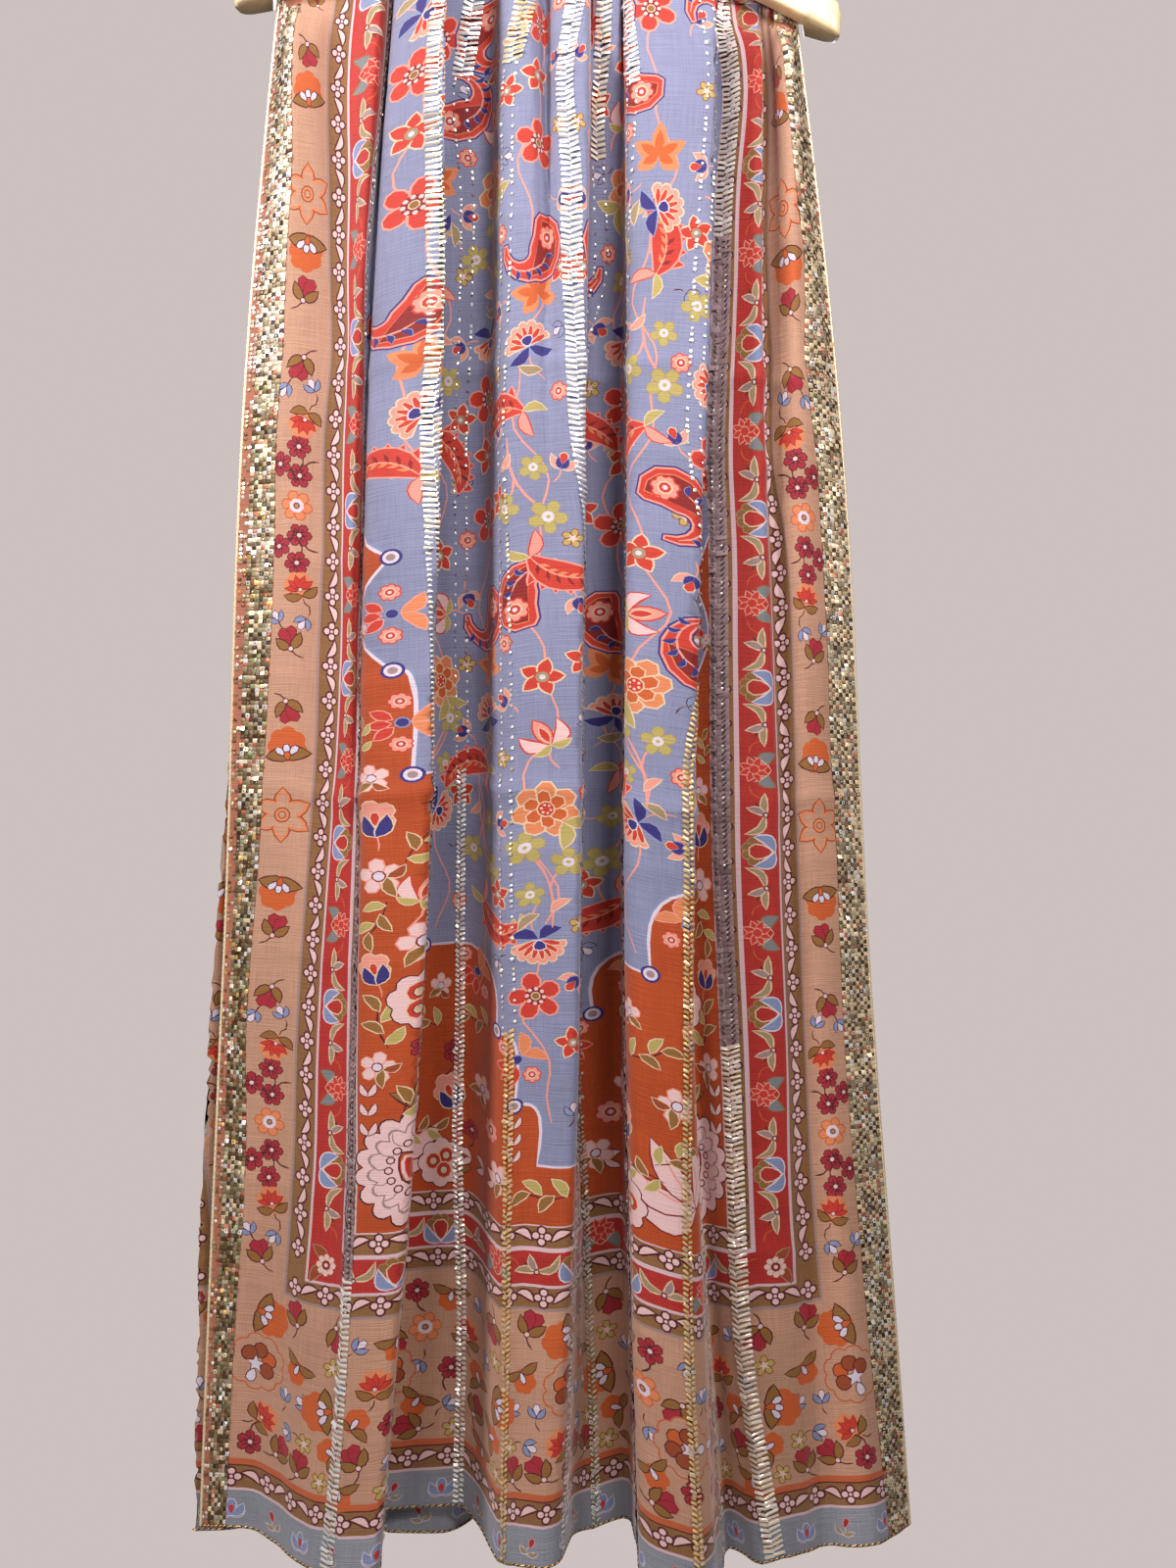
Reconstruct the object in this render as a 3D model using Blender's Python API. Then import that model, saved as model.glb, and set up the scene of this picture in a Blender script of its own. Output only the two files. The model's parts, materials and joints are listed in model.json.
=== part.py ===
"""Printed dupatta folded over the trouser bar of a wooden suit hanger.

One length of cloth hangs from the bar in two falls. Its pleats are laid by hand on
the bar and open into three broad ridges lower down. The origin is the point inside
the hook that rests on whatever carries the hanger; the cloth's face looks along -Y.
"""

import math

import bmesh
import bpy
import numpy as np
from mathutils import Matrix, Vector

# Cloth
CLOTH_WIDTH = 0.804
CLOTH_WALL = 0.001
FRONT_FALL = 1.126  # from the bar's axis to the hem
BACK_DROP = 0.006  # the back fall's hem hangs lower by this
SEAM_GAP = 0.0003  # between the stretches, and between cloth and bar

# Hanger
BAR_DROP = 0.165  # from the hook's seat to the bar's axis
BAR_RADIUS = 0.006
BAR_HALF_LENGTH = 0.205
HANGER_TILT = math.radians(2.8)  # the uneven cloth pulls the right arm down
HOOK_WIRE = 0.002
HOOK_RADIUS = 0.022

BAR_SEAT = BAR_RADIUS + SEAM_GAP + CLOTH_WALL / 2  # the wall's middle where it rests on the bar
# Rows of the falls, as shares of the way down. The first ones lie beside the bar.
ROW_HEIGHTS = (0, 0.013, 0.035, 0.07, 0.12, 0.18, 0.25, 0.33, 0.42, 0.51, 0.6, 0.69, 0.78, 0.86, 0.93, 1)
BESIDE_BAR = 0.02
PLANE_GAP = 0.003  # least distance of either fall from the plane between them
STEPS_PER_FOLD = 3
SPLINE_STEPS = 8  # points between two folds where a section's length is measured
SHIFT_HEIGHTS = (0.0, 0.45, 0.64, 0.80, 1.0)
BACK_SHIFTS = (0.0, 0.002, 0.011, 0.013, 0.009)  # the back fall hangs a little to the left
BACK_EVENNESS = 0.5
ARCH_RISE = 0.1  # share of a pleat's depth by which it stands higher over the bar

# Each row is one fold line, from the left edge to the right one. Under each height,
# given as a share of the fall, stand its distance from the hanger's middle and its
# distance in front of the bar's axis, in millimetres. The last column says by how much
# the hem hangs higher there, because of the way the cloth is drawn into its folds.
FOLD_HEIGHTS = (0.0, 0.21, 0.64, 1.0)
FOLDS = (
    # name, at the bar, upper folds, lower folds, hem, hem lift
    ("left edge", (-189, 8), (-212, 8), (-233, 4), (-249, 6), 4),
    ("side swell", (-172, 30), (-176, 24), (-182, 24), (-206, 12), 4),
    ("red foot", (-137, 14), (-143, 14), (-155, 30), (-171, 44), -1),
    ("red crest", (-112, 26), (-128, 24), (-138, 38), (-155, 56), 0),
    ("first trough", (-106, 8), (-123, 8), (-132, 42), (-147, 62), 2),
    ("first crest", (-101, 28), (-117, 28), (-120, 66), (-135, 72), 2),
    ("first edge", (-61, 56), (-64, 62), (-77, 80), (-108, 80), 11),
    ("first tuck", (-90, 30), (-84, 40), (-83, 52), (-109, 52), 20),
    ("first return", (-96, 8), (-91, 8), (-90, 8), (-117, 6), 14),
    ("left valley", (-57, 8), (-65, 8), (-79, 6), (-108, 4), 15),
    ("valley slope", (-36, 8), (-40, 8), (-50, 8), (-57, 5), 18),
    ("middle edge", (-22, 34), (-22, 50), (-24, 54), (-28, 50), 3),
    ("middle step", (-4, 38), (-2, 56), (-5, 66), (-16, 70), 11),
    ("middle dip", (4, 18), (8, 50), (4, 70), (-5, 74), 12),
    ("middle rise", (13, 36), (17, 58), (14, 76), (6, 76), 12),
    ("middle crest", (36, 42), (34, 60), (28, 80), (16, 72), 14),
    ("middle trough", (39, 26), (34, 40), (29, 50), (25, 38), 15),
    ("right return", (41, 38), (36, 12), (30, 8), (40, 26), 13),
    ("right valley", (58, 42), (59, 12), (57, 8), (64, 22), 19),
    ("right tuck", (61, 24), (63, 36), (62, 40), (70, 48), 14),
    ("right edge fold", (63, 46), (67, 60), (65, 80), (74, 78), 6),
    ("third edge", (128, 52), (120, 66), (107, 82), (115, 82), -9),
    ("third tuck", (100, 36), (99, 44), (106, 58), (130, 44), -8),
    ("third return", (99, 12), (100, 16), (109, 28), (138, 20), -4),
    ("stripe left", (132, 18), (125, 30), (125, 36), (159, 44), -3),
    ("stripe right", (143, 26), (138, 34), (141, 44), (174, 42), 1),
    ("red right crest", (158, 30), (158, 40), (173, 36), (192, 32), -1),
    ("chain trough", (163, 9), (164, 20), (185, 22), (208, 22), -2),
    ("peach crest", (176, 34), (184, 36), (201, 30), (238, 34), 5),
    ("right edge", (187, 8), (215, 8), (244, 4), (273, 3), 4),
)

# Arm stations, in millimetres from the hanger's middle outwards: the underside's and the
# top's height over the bar's axis, the front and back faces, and how much higher the
# underside is at the back. The arms pass in front of the bar, and their end blocks reach
# back to carry it.
ARM_STATIONS = (
    ("neck", 0, 49, 86, -9, 9, 0),
    ("collar", 28, 50, 83, -9, 9, 0),
    ("shoulder", 70, 39, 70, -13, 2, 0),
    ("slope", 110, 22, 52, -19, -5, 0),
    ("drop", 140, 9, 38, -23, -10, 0),
    ("behind the cloth", 169, -4, 24, -24, -11.3, 0),
    ("before the block", 193, -15, 14, -24, -11.3, 0),
    ("block", 197, -17, 12, -24, 9, 4),
    ("end", 212, -24, 5, -23, 9, 8),
    ("round", 217, -26, 0, -21, 7, 9),
    ("tip", 220, -24, -6, -17, 3, 6),
)
ARM_CORNER = 0.22  # radius of the arm's corners, as a share of its smaller side
CORNER_STEPS = 3
ARM_REACH = 0.13  # from here outwards the arms stand close in front of the bar
ARM_PASS = 0.0097  # the cloth's farthest distance from the bar's axis behind them


def material(name, colour, roughness, metallic=0.0):
    """A plain finish for one kind of piece."""
    made = bpy.data.materials.new(name)
    made.use_nodes = True
    shader = made.node_tree.nodes["Principled BSDF"]
    shader.inputs["Base Color"].default_value = (*colour, 1.0)
    shader.inputs["Roughness"].default_value = roughness
    shader.inputs["Metallic"].default_value = metallic
    return made


def add_object(name, bm, finish, smooth_angle=math.radians(50)):
    """One named piece from a finished bmesh, shaded smooth."""
    bmesh.ops.recalc_face_normals(bm, faces=bm.faces)
    mesh = bpy.data.meshes.new(name)
    bm.to_mesh(mesh)
    bm.free()
    mesh.materials.append(finish)
    mesh.shade_smooth()
    mesh.set_sharp_from_angle(angle=smooth_angle)
    made = bpy.data.objects.new(name, mesh)
    bpy.context.collection.objects.link(made)
    return made


def smooth_through(heights, values, at):
    """Values at a height, read from a smooth curve through the table's rows."""
    heights = np.asarray(heights, float)
    values = np.asarray(values, float)
    slopes = np.gradient(values, heights, axis=0)
    k = int(np.clip(np.searchsorted(heights, at, "right") - 1, 0, len(heights) - 2))
    span = heights[k + 1] - heights[k]
    t = (at - heights[k]) / span
    return (
        values[k] * (1 + 2 * t) * (1 - t) ** 2
        + slopes[k] * span * t * (1 - t) ** 2
        + values[k + 1] * t * t * (3 - 2 * t)
        + slopes[k + 1] * span * t * t * (t - 1)
    )


def spline(points, steps):
    """A rounded curve through the fold points, with the same steps in each fold."""
    ends = np.vstack([2 * points[0] - points[1], points, 2 * points[-1] - points[-2]])
    knots = np.concatenate([[0], np.cumsum(np.linalg.norm(np.diff(ends, axis=0), axis=1) ** 0.5)])
    out = []
    for i in range(1, len(ends) - 2):
        p0, p1, p2, p3 = ends[i - 1 : i + 3]
        k0, k1, k2, k3 = knots[i - 1 : i + 3]
        last = i == len(ends) - 3
        t = np.linspace(k1, k2, steps + 1)[: None if last else -1, None]
        a1 = (k1 - t) / (k1 - k0) * p0 + (t - k0) / (k1 - k0) * p1
        a2 = (k2 - t) / (k2 - k1) * p1 + (t - k1) / (k2 - k1) * p2
        a3 = (k3 - t) / (k3 - k2) * p2 + (t - k2) / (k3 - k2) * p3
        b1 = (k2 - t) / (k2 - k0) * a1 + (t - k0) / (k2 - k0) * a2
        b2 = (k3 - t) / (k3 - k1) * a2 + (t - k1) / (k3 - k1) * a3
        out.append((k2 - t) / (k2 - k1) * b1 + (t - k1) / (k2 - k1) * b2)
    return np.vstack(out)


def length_of(curve):
    return float(np.linalg.norm(np.diff(curve, axis=0), axis=1).sum())


def fitted_depth(points, nearest):
    """The fold points with their depths scaled until the section is one cloth width long."""
    low, high = 0.3, 2.5
    for _ in range(30):
        scale = (low + high) / 2
        tried = points.copy()
        tried[:, 1] = nearest + (points[:, 1] - nearest) * scale
        if length_of(spline(tried, SPLINE_STEPS)) < CLOTH_WIDTH:
            low = scale
        else:
            high = scale
    return tried


def front_section(height):
    """Fold points (across, forward) of the front fall at a share of its height."""
    table = np.array([row[1:5] for row in FOLDS], float).transpose(1, 0, 2) / 1000
    points = smooth_through(FOLD_HEIGHTS, table, height)
    nearest = BAR_SEAT + (0.004 - BAR_SEAT) * min(1.0, height / FOLD_HEIGHTS[1])
    points[:, 1] = np.maximum(points[:, 1], nearest)
    return fitted_depth(points, nearest)


def back_section(height):
    """Fold points of the back fall: the same pleats, evened out and a little to the left."""
    front = front_section(height)
    opened = min(1.0, height / FOLD_HEIGHTS[2])
    opened = BACK_EVENNESS * opened * opened * (3 - 2 * opened)
    curve = spline(front, SPLINE_STEPS)
    run = np.concatenate([[0], np.cumsum(np.linalg.norm(np.diff(curve, axis=0), axis=1))])
    share = run[::SPLINE_STEPS] / run[-1]
    even = front[0, 0] + (front[-1, 0] - front[0, 0]) * share
    points = front.copy()
    points[:, 0] += opened * (even - front[:, 0])
    points[:, 0] -= np.interp(height, SHIFT_HEIGHTS, BACK_SHIFTS)
    return fitted_depth(points, points[:, 1].min())


def clear_of_bar(section, nearest):
    """A section whose rounded curve dips no nearer to the axis than the bar allows."""
    section[:, 1] = np.maximum(section[:, 1], nearest)
    return section


def behind_arms(section):
    """A section whose outer folds are pressed flat where the arms stand before them."""
    outer = np.abs(section[:, 0]) > ARM_REACH
    section[outer, 1] = np.minimum(section[outer, 1], ARM_PASS)
    return section


def bar_height(across):
    """Height of the tilted bar's axis, a distance across from the hanger's middle."""
    return -BAR_DROP * math.cos(HANGER_TILT) - across * math.tan(HANGER_TILT)


def bar_offset():
    """How far the tilt carries the hanger's middle sideways, at the bar."""
    return -BAR_DROP * math.sin(HANGER_TILT)


def hem_heights(side):
    """Height of the hem at each point across a fall. The front one is uneven."""
    if side > 0:
        return -BAR_DROP - FRONT_FALL - BACK_DROP
    lift = np.array([row[5] for row in FOLDS], float) / 1000
    spots = np.arange((len(FOLDS) - 1) * STEPS_PER_FOLD + 1) / STEPS_PER_FOLD
    return np.interp(spots, np.arange(len(FOLDS)), lift) - BAR_DROP - FRONT_FALL


def fall_rows(section_at, side):
    """Rows of points down one fall. The side is -1 for the front and 1 for the back."""
    top = spline(section_at(0.0), STEPS_PER_FOLD)
    start = np.array([bar_height(across) for across in top[:, 0]]) - SEAM_GAP / 2
    hem = hem_heights(side)
    rows = []
    for height in ROW_HEIGHTS:
        curve = spline(section_at(height), STEPS_PER_FOLD)
        curve = clear_of_bar(curve, BAR_SEAT if height < BESIDE_BAR else PLANE_GAP)
        if side < 0 and height < BESIDE_BAR:
            curve = behind_arms(curve)
        z = start + (hem - start) * height
        rows.append(np.column_stack([curve[:, 0] + bar_offset(), side * curve[:, 1], z]))
    return np.array(rows)


def over_bar_rows():
    """Rows of points over the bar, from the front fall's top to the back fall's."""
    front = spline(front_section(0.0), STEPS_PER_FOLD)
    front = behind_arms(clear_of_bar(front, BAR_SEAT))
    back = clear_of_bar(spline(back_section(0.0), STEPS_PER_FOLD), BAR_SEAT)
    axis = np.array([bar_height(across) for across in front[:, 0]]) + SEAM_GAP / 2
    rows = []
    for turn in np.linspace(0, math.pi, 7):
        depth = front[:, 1] if turn < math.pi / 2 else back[:, 1]
        rise = BAR_SEAT + (depth - BAR_SEAT) * ARCH_RISE
        across = front[:, 0] + (back[:, 0] - front[:, 0]) * turn / math.pi + bar_offset()
        rows.append(
            np.column_stack([across, -depth * math.cos(turn), axis + rise * math.sin(turn)])
        )
    return np.array(rows)


def row_normals(rows, seams):
    """Unit normals of a grid of points, kept level in the rows that meet another stretch."""
    along = np.gradient(rows, axis=1)
    down = np.gradient(rows, axis=0)
    normal = np.cross(along, down)
    normal[list(seams), :, 2] = 0
    return normal / np.linalg.norm(normal, axis=2, keepdims=True)


def cloth_wall(name, rows, seams, finish):
    """A closed wall of the cloth's thickness, half to each side of a grid of points."""
    normal = row_normals(rows, seams) * CLOTH_WALL / 2
    count, width = rows.shape[:2]
    bm = bmesh.new()
    sheets = []
    for sheet in (rows + normal, rows - normal):
        sheets.append([[bm.verts.new(point) for point in row] for row in sheet])
    for sheet, turned in zip(sheets, (False, True)):
        for i in range(count - 1):
            for j in range(width - 1):
                corners = [sheet[i][j], sheet[i][j + 1], sheet[i + 1][j + 1], sheet[i + 1][j]]
                bm.faces.new(corners[::-1] if turned else corners)
    rim = [(0, j) for j in range(width)]
    rim += [(i, width - 1) for i in range(1, count)]
    rim += [(count - 1, j) for j in range(width - 2, -1, -1)]
    rim += [(i, 0) for i in range(count - 2, 0, -1)]
    for (i, j), (k, m) in zip(rim, rim[1:] + rim[:1]):
        bm.faces.new([sheets[0][i][j], sheets[1][i][j], sheets[1][k][m], sheets[0][k][m]])
    return add_object(name, bm, finish)


def hanger_frame():
    """The turn that tilts the hanger about its hook's seat."""
    return Matrix.Rotation(HANGER_TILT, 4, "Y")


def arm_ring(across, under, top, front, back, back_rise):
    """A rounded section across the arm, in the hanger's own upright frame."""
    half_y, half_z = (back - front) / 2, (top - under) / 2
    radius = ARM_CORNER * min(back - front, top - under)
    middle = Vector((across, (front + back) / 2, (under + top) / 2 - BAR_DROP))
    ring = []
    for quarter in range(4):
        turn = quarter * math.pi / 2
        sign_y = (1, -1, -1, 1)[quarter]
        sign_z = (1, 1, -1, -1)[quarter]
        centre = Vector((0, sign_y * (half_y - radius), sign_z * (half_z - radius)))
        for step in range(CORNER_STEPS + 1):
            angle = turn + step / CORNER_STEPS * math.pi / 2
            offset = centre + Vector((0, math.cos(angle), math.sin(angle))) * radius
            if offset.z < 0:
                offset.z += back_rise * (offset.y + half_y) / (2 * half_y)
            ring.append(middle + offset)
    return ring


def make_shoulders(finish):
    """Both arms in one piece of wood, with the blocks that take the bar's ends."""
    stations = [tuple(value / 1000 for value in row[1:]) for row in ARM_STATIONS]
    left = [(-across, *rest) for across, *rest in stations[:0:-1]]
    bm = bmesh.new()
    rings = []
    for station in left + stations:
        rings.append([bm.verts.new(point) for point in arm_ring(*station)])
    for one, other in zip(rings, rings[1:]):
        for k in range(len(one)):
            m = (k + 1) % len(one)
            bm.faces.new([one[k], one[m], other[m], other[k]])
    bm.faces.new(rings[0])
    bm.faces.new(rings[-1][::-1])
    made = add_object("hanger_shoulders", bm, finish, math.radians(40))
    made.data.transform(hanger_frame())
    return made


def cut_bar_holes(shoulders):
    """Blind holes in the two end blocks, for the bar to sit in."""
    bm = bmesh.new()
    bmesh.ops.create_cone(
        bm,
        cap_ends=True,
        segments=16,
        radius1=BAR_RADIUS + SEAM_GAP,
        radius2=BAR_RADIUS + SEAM_GAP,
        depth=2 * (BAR_HALF_LENGTH + SEAM_GAP),
    )
    bmesh.ops.transform(bm, matrix=Matrix.Rotation(math.pi / 2, 4, "Y"), verts=bm.verts)
    cutter = add_object("bar_hole_cutter", bm, shoulders.data.materials[0])
    cutter.data.transform(hanger_frame() @ Matrix.Translation((0, 0, -BAR_DROP)))
    cutter.hide_render = True
    cutter.display_type = "WIRE"
    cut = shoulders.modifiers.new("bar holes", "BOOLEAN")
    cut.operation = "DIFFERENCE"
    cut.object = cutter
    cut.solver = "EXACT"


def make_bar(finish):
    """The round bar that carries the cloth."""
    bm = bmesh.new()
    bmesh.ops.create_cone(
        bm,
        cap_ends=True,
        segments=16,
        radius1=BAR_RADIUS,
        radius2=BAR_RADIUS,
        depth=2 * BAR_HALF_LENGTH,
    )
    bmesh.ops.transform(bm, matrix=Matrix.Rotation(math.pi / 2, 4, "Y"), verts=bm.verts)
    made = add_object("hanger_bar", bm, finish)
    made.data.transform(hanger_frame() @ Matrix.Translation((0, 0, -BAR_DROP)))
    return made


def hook_path():
    """The hook's centre line: an open ring, then a bend back over the neck and a shank."""
    points = []
    for degrees in range(200, -41, -12):
        angle = math.radians(degrees)
        centre_z = HOOK_WIRE - HOOK_RADIUS
        points.append((HOOK_RADIUS * math.cos(angle), centre_z + HOOK_RADIUS * math.sin(angle)))
    points += [(0.0105, -0.0405), (0.0040, -0.0465), (0.0006, -0.0530), (0.0, -0.0600)]
    neck_top = ARM_STATIONS[0][3] / 1000 - BAR_DROP
    points += [(0.0, -0.0700), (0.0, neck_top + SEAM_GAP)]
    return [(x, 0.0, z) for x, z in points]


def make_hook(finish):
    """A bent wire hook whose shank ends on the neck."""
    path = hook_path()
    curve = bpy.data.curves.new("hanger_hook", "CURVE")
    curve.dimensions = "3D"
    curve.bevel_depth = HOOK_WIRE
    curve.bevel_resolution = 2
    curve.use_fill_caps = True
    line = curve.splines.new("POLY")
    line.points.add(len(path) - 1)
    for point, place in zip(line.points, path):
        point.co = (*place, 1.0)
    curve.materials.append(finish)
    made = bpy.data.objects.new("hanger_hook", curve)
    made.rotation_euler = (0, HANGER_TILT, 0)
    bpy.context.collection.objects.link(made)
    return made


def main():
    for old in list(bpy.data.objects):
        bpy.data.objects.remove(old, do_unlink=True)
    cloth = material("printed chiffon", (0.78, 0.42, 0.30), 0.62)
    back_cloth = material("printed chiffon, back", (0.62, 0.36, 0.30), 0.66)
    fold_cloth = material("printed chiffon, over the bar", (0.42, 0.48, 0.72), 0.62)
    wood = material("lacquered pale wood", (0.80, 0.66, 0.45), 0.38)
    steel = material("bright steel", (0.75, 0.76, 0.78), 0.22, 1.0)
    cloth_wall("dupatta_front_fall", fall_rows(front_section, -1), [0], cloth)
    cloth_wall("dupatta_back_fall", fall_rows(back_section, 1), [0], back_cloth)
    cloth_wall("dupatta_over_bar", over_bar_rows(), [0, -1], fold_cloth)
    cut_bar_holes(make_shoulders(wood))
    make_bar(wood)
    make_hook(steel)


main()
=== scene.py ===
"""Looks for the printed dupatta on its wooden hanger.

The cloth is one flat print, cut out in millimetres: u runs across from the left edge
and v runs up from the hem. Each fall and the stretch over the bar lay that print on the
same folds as the CAD walls. Its woven metal stripes, edge cords and hem lie on it.
"""

import json
import math

import bmesh
import bpy
import numpy as np
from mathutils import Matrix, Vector
from mathutils.geometry import delaunay_2d_cdt

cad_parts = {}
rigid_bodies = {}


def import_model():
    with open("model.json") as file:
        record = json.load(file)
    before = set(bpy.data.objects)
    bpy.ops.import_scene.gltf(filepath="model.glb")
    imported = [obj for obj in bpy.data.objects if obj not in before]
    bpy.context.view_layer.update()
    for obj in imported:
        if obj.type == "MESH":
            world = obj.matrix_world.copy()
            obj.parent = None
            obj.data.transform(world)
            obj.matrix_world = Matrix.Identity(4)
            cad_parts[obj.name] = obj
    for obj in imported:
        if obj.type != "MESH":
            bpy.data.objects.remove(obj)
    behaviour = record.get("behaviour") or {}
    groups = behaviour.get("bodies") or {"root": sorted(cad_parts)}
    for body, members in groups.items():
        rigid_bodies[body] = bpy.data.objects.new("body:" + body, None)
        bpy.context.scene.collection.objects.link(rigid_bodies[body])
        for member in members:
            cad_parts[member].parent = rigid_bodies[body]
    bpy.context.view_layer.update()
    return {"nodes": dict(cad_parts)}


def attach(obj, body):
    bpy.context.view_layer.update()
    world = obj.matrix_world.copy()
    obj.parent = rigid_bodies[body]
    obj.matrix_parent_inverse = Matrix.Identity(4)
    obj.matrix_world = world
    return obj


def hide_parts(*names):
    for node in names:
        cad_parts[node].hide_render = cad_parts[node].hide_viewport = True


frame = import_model()
BODY = "root"

# ---------------------------------------------------------------- sizes, in metres
CLOTH_WIDTH = 0.804
FRONT_FALL = 1.126  # from the bar's axis to the hem
BACK_DROP = 0.006  # the back fall's hem hangs lower by this
BAR_DROP = 0.165  # from the hook's seat to the bar's axis
BAR_RADIUS = 0.006
SEAM_GAP = 0.0003  # between the stretches, and between cloth and bar
CLOTH_WALL = 0.001  # of the CAD solids, whose middle this thin cloth follows
HANGER_TILT = math.radians(2.8)  # the uneven cloth pulls the right arm down
BAR_SEAT = BAR_RADIUS + SEAM_GAP + CLOTH_WALL / 2  # the wall's middle where it rests on the bar
BESIDE_BAR = (0.013, 0.035)  # shares of a fall: pressed to the bar above, free of it below
PLANE_GAP = 0.003  # least distance of either fall from the plane between them
VALLEY_GAP = 0.004  # and of the front's fold points, below its upper folds
TURN_GAP = 0.004  # how far the turned edge lies in front of the back fall
ARM_REACH = 0.13  # beyond this distance across the cloth lies behind the hanger's arms
ARM_PASS = 0.0097  # and stands no further forward than this
ARM_LEAD, ARM_EASE = 0.004, 0.006  # it is drawn in from a little before, over a short way
SHIFT_HEIGHTS = (0.0, 0.45, 0.64, 0.80, 1.0)
BACK_SHIFTS = (0.0, 0.002, 0.011, 0.013, 0.009)  # the back fall hangs a little to the left
BACK_EVENNESS = 0.5  # how far its pleats are evened out
ARCH_RISE = 0.1  # share of a pleat's depth by which it stands higher over the bar
SPLINE_STEPS = 8  # points between two folds
FALL_ROWS, ARCH_ROWS = 76, 31  # sections worked out down a fall, and over the bar
FINE_ROWS = 301  # rows of the finished map of either
DEPTH_SCALES, HALVINGS = (0.3, 2.5), 24  # the search for a section's depth

FOLD_HEIGHTS = (0.0, 0.21, 0.64, 1.0)
FOLDS = (
    # name, at the bar, upper folds, lower folds, hem, hem lift
    ("left edge", (-189, 8), (-212, 8), (-233, 4), (-249, 6), 4),
    ("side swell", (-172, 30), (-176, 24), (-182, 24), (-206, 12), 4),
    ("red foot", (-137, 14), (-143, 14), (-155, 30), (-171, 44), -1),
    ("red crest", (-112, 26), (-128, 24), (-138, 38), (-155, 56), 0),
    ("first trough", (-106, 8), (-123, 8), (-132, 42), (-147, 62), 2),
    ("first crest", (-101, 28), (-117, 28), (-120, 66), (-135, 72), 2),
    ("first edge", (-61, 56), (-64, 62), (-77, 80), (-108, 80), 11),
    ("first tuck", (-90, 30), (-84, 40), (-83, 52), (-109, 52), 20),
    ("first return", (-96, 8), (-91, 8), (-90, 8), (-117, 6), 14),
    ("left valley", (-57, 8), (-65, 8), (-79, 6), (-108, 4), 15),
    ("valley slope", (-36, 8), (-40, 8), (-50, 8), (-57, 5), 18),
    ("middle edge", (-22, 34), (-22, 50), (-24, 54), (-28, 50), 3),
    ("middle step", (-4, 38), (-2, 56), (-5, 66), (-16, 70), 11),
    ("middle dip", (4, 18), (8, 50), (4, 70), (-5, 74), 12),
    ("middle rise", (13, 36), (17, 58), (14, 76), (6, 76), 12),
    ("middle crest", (36, 42), (34, 60), (28, 80), (16, 72), 14),
    ("middle trough", (39, 26), (34, 40), (29, 50), (25, 38), 15),
    ("right return", (41, 38), (36, 12), (30, 8), (40, 26), 13),
    ("right valley", (58, 42), (59, 12), (57, 8), (64, 22), 19),
    ("right tuck", (61, 24), (63, 36), (62, 40), (70, 48), 14),
    ("right edge fold", (63, 46), (67, 60), (65, 80), (74, 78), 6),
    ("third edge", (128, 52), (120, 66), (107, 82), (115, 82), -9),
    ("third tuck", (100, 36), (99, 44), (106, 58), (130, 44), -8),
    ("third return", (99, 12), (100, 16), (109, 28), (138, 20), -4),
    ("stripe left", (132, 18), (125, 30), (125, 36), (159, 44), -3),
    ("stripe right", (143, 26), (138, 34), (141, 44), (174, 42), 1),
    ("red right crest", (158, 30), (158, 40), (173, 36), (192, 32), -1),
    ("chain trough", (163, 9), (164, 20), (185, 22), (208, 22), -2),
    ("peach crest", (176, 34), (184, 36), (201, 30), (238, 34), 5),
    ("right edge", (187, 8), (215, 8), (244, 4), (273, 3), 4),
)

# ------------------------------------------------ the print's layout, in millimetres
WIDTH = 804
LENGTH = 1126  # one fall
OVER = 22  # from a fall's top to the middle of the stretch over the bar
HALF = WIDTH / 2
GOTA = (2, 27)  # the wide woven metal ribbon along each edge
STRIPE_FIRST, STRIPE_STEP, STRIPE_WIDTH = 120, 56.4, 14  # the narrow metal ribbons

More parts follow.
